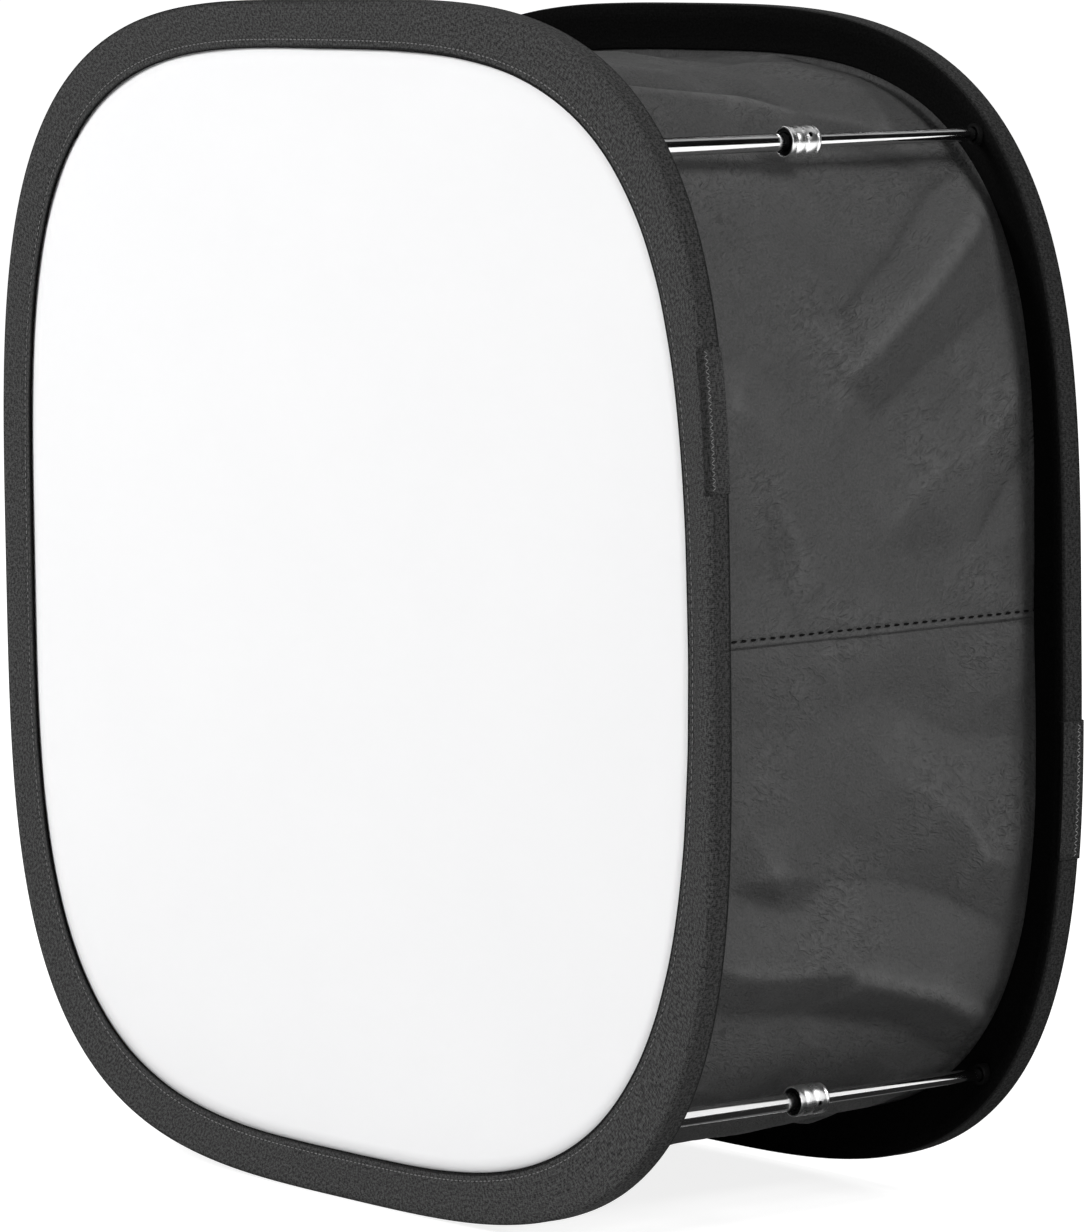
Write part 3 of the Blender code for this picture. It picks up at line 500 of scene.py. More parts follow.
def placePiece(name, mesh, materials, body, replaces=()):
    piece = newObject(name, mesh)
    for look in materials:
        mesh.materials.append(looks[look])
    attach(piece, body)
    if replaces:
        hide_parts(*replaces)
    return piece


def smoothStep(share):
    return share * share * (3 - 2 * share)


# From 0 to 1 over a width, and level on both sides
def ramp(value, start, width):
    return np.clip((value - start) / width, 0, 1)


# 1 in the middle, where the value is 0, and falling off on both sides
def hump(value, width):
    return np.exp(-((value / width) ** 2))


# The rims. Angles run round from the right at mid height, through the top.
rimShape = {
    "frontFace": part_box("front_rim_sleeve")[0][1], "rearFace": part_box("rear_rim_sleeve")[1][1],
    "centre": 0.203, "frontSize": 0.406, "rearSize": 0.398, "frontPower": 3.46, "rearPower": 3.35,
    "seamPower": 3.36, "width": 16 * mm, "stations": 400,
    # where hand-sewn tape strays from its line: degrees round, metres outwards, degrees wide
    "frontEdgeStray": [(135, 0.9 * mm, 26), (225, -0.8 * mm, 24), (68, 1.1 * mm, 20)],
    "frontSeamStray": [(136, 3.0 * mm, 20), (0, 2.6 * mm, 22), (-43, -2.9 * mm, 18)],
    "rearEdgeStray": [(45, -0.8 * mm, 22), (-45, 1.2 * mm, 22)],
    "rearSeamStray": [(0, -3.0 * mm, 24)],
}


def strayAt(angles, bumps):
    total = np.zeros_like(angles)
    for middle, height, width in bumps:
        total += height * hump((np.degrees(angles) - middle + 180) % 360 - 180, width)
    return total


def radiusAt(angles, size, power):
    return size / 2 * (np.abs(np.cos(angles)) ** power + np.abs(np.sin(angles)) ** power) ** (-1 / power)


def edgeRadius(rim, angles):
    ruled = radiusAt(angles, rimShape[rim + "Size"], rimShape[rim + "Power"])
    return ruled + strayAt(angles, rimShape[rim + "EdgeStray"])


def seamRadius(rim, angles):
    size = rimShape[rim + "Size"] - 2 * rimShape["width"]
    return radiusAt(angles, size, rimShape["seamPower"]) + strayAt(angles, rimShape[rim + "SeamStray"])


# Lengths along an outline given by its radius at each angle
def outlineRun(angles, radius):
    steps = np.hypot(np.diff(radius * np.cos(angles)), np.diff(radius * np.sin(angles)))
    return np.concatenate(([0], np.cumsum(steps)))


def evenAngles(count):
    fine = np.linspace(0, math.tau, 8001)
    run = outlineRun(fine, radiusAt(fine, rimShape["frontSize"], rimShape["frontPower"]))
    return np.interp(np.arange(count) / count * run[-1], run, fine)


def roundPoints(angles, radius, y, middle=rimShape["centre"]):
    x, z = radius * np.cos(angles), radius * np.sin(angles)
    return np.stack([x, np.broadcast_to(y, x.shape), middle + z], axis=-1)


# A point of the rim, on a line from its edge or its seam, at a depth behind its outer face
def rimPoints(rim, angles, line, inset, depth):
    radius = (edgeRadius if line == "edge" else seamRadius)(rim, angles) - inset
    return roundPoints(angles, radius, rimShape[rim + "Face"] + (depth if rim == "front" else -depth))


def smoothNoise(places, scale, seed):
    shift = Vector((seed * 7.31, seed * 3.17, seed * 5.83))
    return np.array([noise.noise(Vector(place) / scale + shift) for place in places])


# Folded tape round the hoop: line, inset and depth in mm, then its painted shade: a shadow line at the white
# cloth's edge, the rolled borders and the side band
def sleeveSection(lip, band, border):
    rearRun = [(4.2 + 0.7 * k, 9.0 - (9.0 - lip) * k * 0.055) for k in range(1, 4)]
    return [
        ("seam", 0.10, 1.72, 1), ("seam", -0.08, 1.42, 1), ("seam", -0.95, 1.26, 0.9),
        ("seam", -1.3, 1.22, 0), ("seam", -2.15, 1.18, 0), ("seam", -2.55, 1.40, 0),
        ("seam", -3.15, 1.40, 0), ("seam", -3.55, 1.10, 0), ("seam", -4.6, 0.92, 0), ("edge", 7.0, 0.46, 0),
        ("edge", 5.2, 0.20, 0), ("edge", 3.6, 0.03, 0), ("edge", 1.8, 0.0, 0),
        ("edge", 0.9, 0.10, border / 2), ("edge", 0.38, 0.38, border), ("edge", 0.10, 0.9, border),
        ("edge", 0.0, 1.8, band), ("edge", 0.10, 4.5, band), ("edge", 0.0, 7.2, band),
        ("edge", 0.10, 8.1, border), ("edge", 0.38, 8.62, border), ("edge", 0.9, 8.9, border),
        ("edge", 1.8, 9.0, 0), ("edge", 4.2, 9.0, 0),
        *[("edge", inset, depth, 0) for inset, depth in rearRun],
        ("seam", -4.0, lip + 0.75, 0), ("seam", -2.6, lip + 0.5, 0), ("seam", -0.5, lip + 0.12, 0),
        ("seam", 0.05, lip - 0.1, 1), ("seam", 0.05, lip - 0.5, 1), ("seam", -1.0, lip - 0.6, 1),
        ("edge", 4.2, 8.4, 1), ("edge", 0.7, 8.4, 1), ("edge", 0.6, 4.5, 1), ("edge", 0.7, 0.6, 1),
        ("edge", 4.2, 0.62, 1), ("seam", -1.0, 2.0, 1), ("seam", 0.0, 2.0, 1),
    ]


def evaluatedMesh(carrier, *helpers):
    graph = bpy.context.evaluated_depsgraph_get()
    mesh = bpy.data.meshes.new_from_object(carrier.evaluated_get(graph))
    for item in (carrier, *helpers):
        bpy.data.objects.remove(item, do_unlink=True)
    return mesh


def cutAway(mesh, cutter, sharpFrom):
    base, tool = newObject("cutBase", mesh), newObject("cutTool", cutter)
    modifier = base.modifiers.new("cut", "BOOLEAN")
    modifier.operation, modifier.object, modifier.solver = "DIFFERENCE", tool, "EXACT"
    cut = evaluatedMesh(base, tool)
    cut.shade_smooth()
    cut.set_sharp_from_angle(angle=math.radians(sharpFrom))
    return cut


def roundCutter(places, radius, depth, sides):
    form = bmesh.new()
    for place in places:
        made = bmesh.ops.create_cone(
            form, cap_ends=True, segments=sides, radius1=radius, radius2=radius, depth=depth)
        bmesh.ops.transform(form, matrix=place, verts=made["verts"])
    tool = bpy.data.meshes.new("roundCutter")
    form.to_mesh(tool)
    form.free()
    return tool


# Where the rods go into the front rim, its tape has a hole for each
rodHoles = {
    "reach": 222.167 * mm, "radius": 2.93 * mm, "from": 3.2 * mm, "to": 11 * mm, "sides": 40,
    "sharpFrom": 50,
}


def rodAxis(k):
    turn, reach = math.pi / 4 + (k - 1) * math.pi / 2, rodHoles["reach"]
    return Vector((reach * math.cos(turn), 0, rimShape["centre"] + reach * math.sin(turn)))


def cutRodHoles(mesh):
    start, end = rodHoles["from"], rodHoles["to"]
    middle = Vector((0, rimShape["frontFace"] + (start + end) / 2, 0))
    alongY = Matrix.Rotation(math.pi / 2, 4, "X")
    places = [Matrix.Translation(rodAxis(k) + middle) @ alongY for k in range(1, 5)]
    cutter = roundCutter(places, rodHoles["radius"], end - start, rodHoles["sides"])
    return cutAway(mesh, cutter, rodHoles["sharpFrom"])


sleeveShape = {
    # band and border: how dark the painted shade makes the side band and the rolled borders
    "front": {"lip": 4.6, "band": 0.42, "border": 0.90},
    "rear": {"lip": 4.8, "band": 0.62, "border": 0.85},
    "ripple": 0.22 * mm, "rippleSize": 18 * mm, "frontSeed": 3, "rearSeed": 4,
    "farSide": 20,  # rows of the section after this one are behind the band
}


def makeSleeve(rim, shape):
    angles, section = evenAngles(rimShape["stations"]), sleeveSection(**shape[rim])
    columns = [rimPoints(rim, angles, line, inset * mm, depth * mm) for line, inset, depth, _ in section]
    points = np.stack(columns, axis=1)
    ripple = smoothNoise(points[:, 4], shape["rippleSize"], shape[rim + "Seed"]) * shape["ripple"]
    onSeam = [j for j, row in enumerate(section) if row[0] == "seam"]
    points[:, onSeam, 1] += ripple[:, None]
    dark = np.tile([float(row[3]) for row in section], (len(angles), 1))
    dark[:, 2] *= np.clip(0.5 + 0.9 * np.cos(angles), 0.15, 1)  # the painted shadow at the white cloth's edge is heaviest on the right
    # black inside, and on the rear rim's side that faces the tunnel, where the black is painted shade
    blackFrom = next(j for j, row in enumerate(section) if row[2] > 8.5)
    if rim == "front":  # and the painted shade on the outer edge is darkest on the left
        border = shape[rim]["border"]
        corner = [j for j, row in enumerate(section) if row[3] in (border, border / 2) and row[2] < 1]
        dark[:, corner] *= np.clip(0.5 - 0.8 * np.cos(angles), 0.2, 1)[:, None]
        blackFrom = next(j for j in onSeam if j > shape["farSide"] and section[j][1] > 0)
    slots = [int(j >= blackFrom) for j in range(len(section))]
    mesh = sweptMesh(rim + "_rim_tape", points, True, {"paintedShade": dark}, slots)
    for part in (rim + "Tape", "lining"):
        mesh.materials.append(looks[part])
    if rim == "front":
        mesh = cutRodHoles(mesh)
    placePiece(rim + "_rim_tape", mesh, [], rim + "_frame", [rim + "_rim_sleeve"])


# The splice patches: a second layer of tape over the band, turned in at both ends.
# Their section is inset and depth in mm. Painted shade darkens each patch, most on its first rows, a painted
# shadow at its front edge, and the rear patch is black from the row blackFrom on, painted shade as on the
# rear rim's side.
patchShape = {
    "length": 46 * mm, "frontHeight": 72.5 * mm, "rearHeight": -58.0 * mm, "rows": 30,
    "frontDark": 0.28, "rearDark": 0.5, "shadowRows": 6, "foldedDark": 0.55, "blackFrom": 10,
    "section": [
        (1.5, -0.16), (1.4, -0.30), (0.85, -0.28), (0.05, -0.18), (-0.20, 0.2), (-0.33, 0.8), (-0.36, 2.2),
        (-0.32, 4.5), (-0.36, 6.8), (-0.33, 8.2), (-0.20, 8.8), (0.05, 9.18), (0.85, 9.28),
        (1.4, 9.30), (1.5, 9.16), (0.9, 9.1), (0.0, 8.8), (-0.14, 8.2),
        (-0.14, 0.8), (0.0, 0.2), (0.9, -0.1),
    ],
}


# Angles along a splice patch, less a margin at both ends
def patchAngles(rim, margin, count):
    middle, half = patchShape[rim + "Height"], patchShape["length"] / 2 - margin
    fine = np.linspace(-0.75, 0.75, 3001)
    ends = np.interp([middle - half, middle + half], edgeRadius(rim, fine) * np.sin(fine), fine)
    return np.linspace(*ends, count)


def makePatch(rim, shape):
    angles, section = patchAngles(rim, 0, shape["rows"]), shape["section"]
    columns = [rimPoints(rim, angles, "edge", inset * mm, depth * mm) for inset, depth in section]
    points = np.stack(columns, axis=1)
    # painted shade over the patch, heavier on its first rows as a painted shadow at its front edge
    dark = np.full(points.shape[:2], shape[rim + "Dark"])
    dark[:, :shape["shadowRows"]] = shape["foldedDark"]
    slots = [int(rim == "rear" and j >= shape["blackFrom"]) for j in range(len(section))]
    mesh = sweptMesh(rim + "_splice_tape", points, False, {"paintedShade": dark}, slots)
    looksOn = [rim + "Tape", "lining"]
    placePiece(rim + "_splice_tape", mesh, looksOn, rim + "_frame", [rim + "_splice_patch"])


for makeTape, shape in ((makeSleeve, sleeveShape), (makePatch, patchShape)):
    for rim in ("front", "rear"):
        makeTape(rim, shape)
print("rims made")


# The white front cloth, stretched in the front rim
frontClothShape = {
    "rings": 34, "spokes": 200, "level": 2.55 * mm, "thick": 0.4 * mm, "hem": 2.2 * mm, "middle": 0.02,
    "wide": (90 * mm, 11), "wideHigh": 0.5 * mm, "small": (35 * mm, 12), "smallHigh": 0.12 * mm, "waves": 0.6,
}


# Noise of a size and a seed, over a cloth that lies flat across the tunnel
def flatNoise(angles, reach, size, seed):
    places = roundPoints(angles[:, None], reach, 0.0, 0.0).reshape(-1, 3)
    return smoothNoise(places, size, seed).reshape(reach.shape)


# A round sheet's rings leave a small hole in its middle on both sides
def closeMiddle(mesh):
    form = bmesh.new()
    form.from_mesh(mesh)
    middle = Vector((0, rimShape["centre"]))
    walls = [face for face in form.faces if face.calc_area() < 1e-6 and abs(face.normal.y) < 0.5
             and (face.calc_center_median().xz - middle).length < 0.01]
    bmesh.ops.delete(form, geom=walls, context="FACES_ONLY")
    bmesh.ops.holes_fill(form, edges=[edge for edge in form.edges if edge.is_boundary], sides=0)
    form.to_mesh(mesh)
    form.free()
    faceOutwards(mesh)


def makeFrontCloth(shape):
    angles = evenAngles(shape["spokes"])
    share = np.linspace(shape["middle"], 1, shape["rings"]) ** 0.85
    reach = seamRadius("front", angles)[:, None] * share
    reach[:, -1] += shape["hem"]
    waves = flatNoise(angles, reach, *shape["wide"]) * shape["wideHigh"]
    waves += flatNoise(angles, reach, *shape["small"]) * shape["smallHigh"]
    waves *= np.clip((1 - share) * 6, 0, 1) * np.clip(share / 0.15, 0, 1) ** 2  # flat at both ends
    y = rimShape["frontFace"] + shape["level"] + shape["waves"] * waves
    front = roundPoints(angles[:, None], reach, y)
    mesh = sheetMesh("white_front_cloth", front, front + np.array([0, shape["thick"], 0]), around=True)
    closeMiddle(mesh)
    flatUv(mesh)
    cloth = placePiece("white_front_cloth", mesh, ["frontCloth"], "front_frame",
                       ["front_diffuser"])
    size = 2 * float(seamRadius("front", np.array([0.0, math.pi / 2])).mean() + shape["hem"])


makeFrontCloth(frontClothShape)
print("front cloth made")


# The tunnel. A place on its cloth is how far it lies from the right side seam, along the cloth,
# and how far from the front. Creases are lines of such places in mm, with a height at each.
tunnelShape = {
    "depth": 160 * mm, "waist": 3 * mm, "thick": 0.7 * mm, "gap": 0.3 * mm, "lap": 2 * mm,
    "hem": 2.2 * mm, "hemThick": 0.6 * mm, "seat": 9 * mm, "seatOver": 3 * mm,  # cut back at the seats
    "looseFrom": 5 * mm, "straight": 24 * mm, "flat": 8 * mm,  # no folds beside the seams and the rims
    "hollow": 1.2 * mm, "hollowFrom": 149 * mm, "hollowOver": 5 * mm,  # it sinks before the rear rim
    "rodRoom": 0.75, "rodSpan": 17 * mm, "fine": 0.09 * mm, "fineSize": 6.5 * mm,
    "columns": 376, "rows": 102, "edge": 5.0 * mm, "edgeSteps": 13, "flatDepth": 158 * mm,
    # rows of the cloth, in mm from the front: inside the front rim, up to the rear rim and inside it
    "frontRows": (3.70, 3.72, 3.9), "between": (4.8, 155.2), "rearRows": (155.9, 156.08, 156.10),
    "frontHem": (-0.2 * mm, 0.15 * mm), "rearHem": 1.2 * mm, "seatLevel": 0.25 * mm,
    # a painted highlight line on the cloth just behind the front rim
    "rimHighlight": 0.7, "rimHighlightAt": 10.6 * mm, "rimHighlightOver": 1.0 * mm,
    # the far side's folds: how far they are stretched, shifted and raised, and kept off the middle
    "farFolds": (1.06, 5, 0.9), "farClear": (-20, 6),
    # sharpBend and the slope after it scale the painted light on crests and facets
    "facet": 24, "rough": 1.4, "smallFacet": 10, "smallRough": 0.24, "sharpBend": 0.42, "facetLightSlope": 0.30,
    "upperCreases": [
        [(150, 156, 2.6), (131, 141, 4.8), (108.5, 112, 5.2), (90.6, 86, 4.0), (80, 73, 1.4)],
        [(127, 145, 2.6), (104, 115, 3.0), (86, 89, 2.2)],
        [(156, 146, -0.8), (147.5, 130, -1.2), (123.5, 104, -1.2), (107.7, 82, -0.9)],
        [(112, 152, -0.6), (98, 130, -0.9), (88, 112, -0.4)],
        [(71.7, 146, 1.4), (59, 132, 1.8), (50.6, 112, 1.6), (35, 94, 0.6)],
        [(84, 132, -0.7), (70, 112, -0.9), (55, 92, -0.6)],
        [(60, 24, 0.9), (62, 46, 1.1), (52, 70, 0.5)],
        [(90, 22, -0.8), (96, 44, -1.0), (104, 60, -0.6)],
        [(240, 30, 1.5), (233.7, 51, 2.6), (227.8, 72, 1.8)],
        [(210, 20, 1.4), (203.9, 39, 2.8), (194.9, 78, 3.0), (187, 99, 1.6)],
        [(240, 118, 1.6), (228.5, 123, 2.6), (212, 131, 2.8), (200.2, 141, 1.6)],
        [(222, 36, -1.0), (214, 62, -1.2), (208, 90, -1.2)],
        [(176, 50, -0.9), (172, 84, -1.1), (168, 116, -0.8)],
    ],
    "lowerCreases": [
        [(152, 158, 3.6), (140, 144, 5.2), (128.7, 124, 5.8), (118.2, 88, 5.2), (109.2, 72, 3.0)],
        [(146, 157, 1.8), (134.5, 145, 3.0), (123, 125, 3.4), (112.5, 90, 3.0)],
        [(115.2, 66, 3.0), (110.7, 36, 3.2), (104.7, 17, 1.6)],
        [(160, 140, -1.2), (146, 116, -1.6), (138, 84, -1.4), (134, 54, -1.2), (128, 26, -0.8)],
        [(108, 146, -0.9), (96, 122, -1.2), (87.7, 98, -1.0), (84, 70, -0.6)],
        [(27.6, 72, 0.5), (48.6, 93, 1.9), (66, 123, 2.6), (81.1, 135, 2.4), (86, 148, 1.2)],
        [(40, 124, -1.0), (30, 104, -0.8)],
        [(82, 24, -0.7), (90, 44, -0.9), (94, 58, -0.5)],
        [(60, 30, 1.0), (64, 52, 1.2), (60, 70, 0.5)],
        [(200, 138, 2.2), (212, 90, 3.2), (226, 38, 2.2)],
        [(186, 120, -1.2), (192, 70, -1.3), (198, 30, -0.9)],
        [(300, 126, 2.2), (292, 80, 3.0), (285, 34, 2.0)],
        [(262, 130, -1.2), (256, 84, -1.4), (254, 40, -1.0)],
    ],
}


def spacedPlaces(crease, gap=9.0):
    places = [crease[0]]
    for start, end in zip(crease, crease[1:]):
        parts = max(1, round(math.hypot(end[0] - start[0], end[1] - start[1]) / gap))
        places += [tuple(a + (b - a) * k / parts for a, b in zip(start, end)) for k in range(1, parts + 1)]
    return places


# Creased cloth is flat facets between its creases: a net of triangles over places with heights
def facetHeights(along, across, places):
    spots = [Vector(place[:2]) for place in places]
    faces, sources = delaunay_2d_cdt(spots, [], [], 0, 1e-6)[2:4]
    heights = np.zeros((len(along), len(across)))
    for face in faces:
        corners = [places[sources[i][0]] for i in face]
        (ax, ay, ah), (bx, by, bh), (cx, cy, ch) = corners
        turn = (by - cy) * (ax - cx) + (cx - bx) * (ay - cy)
        if abs(turn) < 1e-9:
            continue
        i0, i1 = np.searchsorted(along, [min(ax, bx, cx), max(ax, bx, cx)])
        j0, j1 = np.searchsorted(across, [min(ay, by, cy), max(ay, by, cy)])
        x, y = along[i0:i1 + 1, None], across[None, j0:j1 + 1]
        a = ((by - cy) * (x - cx) + (cx - bx) * (y - cy)) / turn
        b = ((cy - ay) * (x - cx) + (ax - cx) * (y - cy)) / turn
        inside = (a >= -1e-6) & (b >= -1e-6) & (a + b <= 1 + 1e-6)
        part = heights[i0:i1 + 1, j0:j1 + 1]
        part[inside] = (a * ah + b * bh + (1 - a - b) * ch)[inside]
    return heights


def softened(heights, rounds):
    for _ in range(rounds):
        for axis in (0, 1):
            padded = np.pad(heights, [(1, 1) if k == axis else (0, 0) for k in (0, 1)], mode="edge")
            before, after = (padded[:-2], padded[2:]) if axis == 0 else (padded[:, :-2], padded[:, 2:])
            heights = 0.25 * before + 0.5 * heights + 0.25 * after
    return heights


# How much the slope changes at each place: above 0 on a crest, below 0 in a valley
def bendOf(heights, along, across):
    bend = np.zeros_like(heights)
    lengthwise = np.diff(heights, axis=0) / np.diff(along)[:, None]
    crosswise = np.diff(heights, axis=1) / np.diff(across)[None, :]
    bend[1:-1] -= np.diff(lengthwise, axis=0)
    bend[:, 1:-1] -= np.diff(crosswise, axis=1)
    return bend


def jitteredPlaces(length, depth, cell, rough, seed, clearOf=()):
    rng = np.random.default_rng(seed)
    clear = np.array([place[:2] for place in clearOf]) if len(clearOf) else np.zeros((0, 2))
    places = []
    for x in np.arange(-cell, length + cell * 1.5, cell):
        for y in np.arange(-cell / 2, depth + cell, cell):
            spot = np.array([x, y]) + rng.uniform(-0.36, 0.36, 2) * cell
            height = rng.normal() * rough
            if not len(clear) or np.hypot(*(clear - spot).T).min() > cell * 0.5:
                places.append((float(spot[0]), float(spot[1]), float(height)))
    return places


# Heights of the folds in metres, for a grid of runs and rows in metres
def foldHeights(runs, rows, creases, seed):
    whole, deep = halfRun / mm, round(tunnelShape["depth"] / mm)
    near = [place for crease in creases for place in spacedPlaces(crease)]
    # the far side's folds are the near ones, turned end for end
    stretch, shift, high = tunnelShape["farFolds"]
    nearEnd, farStart = (whole / 2 + clear for clear in tunnelShape["farClear"])
    far = [(whole - stretch * x - shift, deep - y, high * h) for x, y, h in near if x < nearEnd]
    near += [place for place in far if place[0] > farStart]
    places = near + jitteredPlaces(whole, deep, tunnelShape["facet"], tunnelShape["rough"], seed, near)
    large = facetHeights(runs / mm, rows / mm, places)
    small = jitteredPlaces(whole, deep, tunnelShape["smallFacet"], tunnelShape["smallRough"], seed + 1)
    heights = 1.6 * softened(large, 1) + softened(facetHeights(runs / mm, rows / mm, small), 1)
    # from the bend come the painted crest highlights and valley shade
    net = bendOf(large, runs / mm, rows / mm) / tunnelShape["sharpBend"]
    bend = np.clip(0.35 * net + 3.2 * softened(net, 6), -1, 1)
    # each facet's slope, for painting it lighter or darker by how it faces the light from above
    slope = softened(np.gradient(large, runs / mm, axis=0), 2)
    facetLight = np.clip(slope * np.cos(math.pi * runs / halfRun)[:, None] / tunnelShape["facetLightSlope"], -1, 1)
    return heights * mm, bend, facetLight


def fromEitherRim(fromFront):
    return np.minimum(fromFront, tunnelShape["depth"] - fromFront)


def tunnelInset(run, fromFront, heights, places, seed):
    shape = tunnelShape
    span = np.sin(math.pi * ramp(fromFront, 0, shape["depth"]))
    distance = np.minimum(run, halfRun - run)
    loose = smoothStep(ramp(distance, shape["looseFrom"], shape["straight"]))
    hollow = smoothStep(ramp(fromFront, shape["hollowFrom"], shape["hollowOver"])) * shape["hollow"]
    fine = smoothNoise(places.reshape(-1, 3), shape["fineSize"], seed).reshape(run.shape) * shape["fine"]
    beside = np.minimum(np.abs(distance - cornerRun), np.abs(halfRun - distance - cornerRun))
    room = 1 - shape["rodRoom"] * hump(beside, shape["rodSpan"])  # the rods pass the corners here
    folds = heights * room * (0.12 + 0.88 * loose) * np.clip(span * 2.6, 0, 1)
    inset = shape["gap"] + loose * np.sqrt(span) * shape["waist"] + hollow - folds - fine * np.sqrt(span)
    # near either rim it can't bulge past its seam
    bulge = 0.8 * np.clip(fromEitherRim(fromFront) - shape["flat"], 0, None)
    return np.maximum(inset, shape["gap"] - bulge)


# Along the front seam from the right at mid height: angle against length
seamTable = np.linspace(0, math.pi, 4001)
seamSize = rimShape["frontSize"] - 2 * rimShape["width"]
seamRun = outlineRun(seamTable, radiusAt(seamTable, seamSize, rimShape["seamPower"]))
halfRun = seamRun[-1]
cornerRun = float(np.interp(math.pi / 4, seamTable, seamRun))


def tunnelPoints(run, fromFront, inset, side):
    way = np.where(run < 0, -np.interp(-run, seamRun, seamTable), np.interp(run, seamRun, seamTable))
    beyond = math.pi + np.interp(run - halfRun, seamRun, seamTable)
    angles = np.where(run > halfRun, beyond, way) * side
    share = fromFront / tunnelShape["depth"]
    radius = seamRadius("front", angles) * (1 - share) + seamRadius("rear", angles) * share - inset
    return roundPoints(angles, radius, rimShape["frontFace"] + fromFront)


# Where the panels lap, the lower one steps in behind the upper one's edge. That edge is turned
# under: a raised band, with the stitches in the dip above it. It lies flat under the rims' tape.
lapShape = {
    "step": 6.2 * mm, "stepOver": 3.0 * mm, "band": 2.1 * mm, "bandHigh": 0.55 * mm, "dipAt": 2.5 * mm,
    "dipOver": 0.5 * mm, "dip": 0.22 * mm, "flat": 6 * mm, "flatOver": 5 * mm,
}


def lapInset(side, fromEdge, fromFront):
    if side < 0:
        step = np.clip((lapShape["step"] - fromEdge) / lapShape["stepOver"], 0, 1)
        return (0.35 + 0.65 * np.sqrt(step)) * mm * np.clip(step * 3, 0, 1)
    band = np.sin(math.pi * ramp(fromEdge, 0, lapShape["band"])) ** 0.6
    dip = hump(fromEdge - lapShape["dipAt"], lapShape["dipOver"])
    clear = ramp(fromEitherRim(fromFront), lapShape["flat"], lapShape["flatOver"])
    return (lapShape["dip"] * dip - lapShape["bandHigh"] * band) * clear


# The hems lie in the rims' tape. The front one is cut back round the rods' seats.
def setHems(inset, runs):
    fromSeat = np.minimum(np.abs(runs - cornerRun), np.abs(halfRun - cornerRun - runs))
    whole = ramp(fromSeat, tunnelShape["seat"], tunnelShape["seatOver"])
    for column, level in enumerate((-tunnelShape["hem"], *tunnelShape["frontHem"])):
        inset[:, column] = level * whole + tunnelShape["seatLevel"] * (1 - whole)
    inset[:, -1], inset[:, -2], inset[:, -3] = -tunnelShape["hem"], tunnelShape["rearHem"], inset[:, -4]


def tunnelGrid(startRun, endRun):
    edge, steps, count = tunnelShape["edge"], tunnelShape["edgeSteps"], tunnelShape["columns"]
    runs = np.concatenate([
        np.linspace(startRun, startRun + edge, steps)[:-1],
        np.linspace(startRun + edge, endRun - edge, count),
        np.linspace(endRun - edge, endRun, steps)[1:],
    ])
    between = np.linspace(*tunnelShape["between"], tunnelShape["rows"])
    return runs, np.concatenate([tunnelShape["frontRows"], between, tunnelShape["rearRows"]]) * mm


def makeTunnelPanel(label, side, seed):
    startRun, endRun = -tunnelShape["lap"], halfRun + tunnelShape["lap"]
    runs, rows = tunnelGrid(startRun, endRun)
    run, fromFront = np.meshgrid(runs, rows, indexing="ij")
    heights, bend, facetLight = foldHeights(runs, rows, tunnelShape[label + "Creases"], seed)
    # a painted highlight line where the cloth comes out from the front rim
    turned = hump(fromFront - tunnelShape["rimHighlightAt"], tunnelShape["rimHighlightOver"])
    bend = np.clip(bend + tunnelShape["rimHighlight"] * turned, -1, 1)
    rough = tunnelPoints(run, fromFront, np.zeros_like(run), side)
    inset = tunnelInset(run, fromFront, heights, rough, seed + 2)
    inset = inset + lapInset(side, np.minimum(run - startRun, endRun - run), fromFront)
    setHems(inset, runs)
    outside = tunnelPoints(run, fromFront, inset, side)
    lining = fromFront.copy()
    thick = np.full_like(inset, tunnelShape["thick"])
    for column, way in ((0, -1), (1, -1), (-1, 1), (-2, 1)):
        lining[:, column] += way * tunnelShape["hemThick"]  # a hem's second side lies nearer its rim's face
    thick[:, 0] = thick[:, -1] = 0
    inside = tunnelPoints(run, lining, inset + thick, side)
    name = f"tunnel_{label}_cloth"
    mesh = sheetMesh(name, outside, inside, lined=True, attributes={"bend": bend, "facetLight": -side * facetLight})
    replaced = [f"tunnel_{label}_panel"]
    panel = placePiece(name, mesh, ["coated", "silverLining"], "rear_frame", replaced)
    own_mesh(panel)


makeTunnelPanel("upper", 1, 21)
makeTunnelPanel("lower", -1, 31)
print("tunnel made")


# The rear panel and its bound opening
openingShape = {
    "width": 250 * mm, "height": 232 * mm, "corner": 12 * mm, "rings": 22, "spokes": 400, "hem": 2.2 * mm,
    "level": 2.3 * mm, "thick": 0.6 * mm, "cornerSteps": 30, "sideSteps": 20,
    "folds": (30 * mm, 41), "foldHigh": 0.35 * mm, "small": (11 * mm, 42), "smallHigh": 0.14 * mm,
}


def openingRadius(angles, grow=0.0):
    width, height = openingShape["width"] / 2 + grow, openingShape["height"] / 2 + grow
    corner, outline = openingShape["corner"] + grow, []
    for k, (across, up) in enumerate(((1, 1), (-1, 1), (-1, -1), (1, -1))):
        turns = (k + np.linspace(0, 1, openingShape["cornerSteps"])) * math.pi / 2
        x = across * (width - corner) + corner * np.cos(turns)
        outline.append(np.stack([x, up * (height - corner) + corner * np.sin(turns)], axis=-1))
    outline = np.concatenate(outline)[:, None]
    steps = np.linspace(0, 1, openingShape["sideSteps"], endpoint=False)[None, :, None]
    fine = (outline + (np.roll(outline, -1, axis=0) - outline) * steps).reshape(-1, 2)
    way = np.arctan2(fine[:, 1], fine[:, 0]) % math.tau
    order = np.argsort(way)
    return np.interp(angles % math.tau, way[order], np.hypot(fine[:, 0], fine[:, 1])[order], period=math.tau)


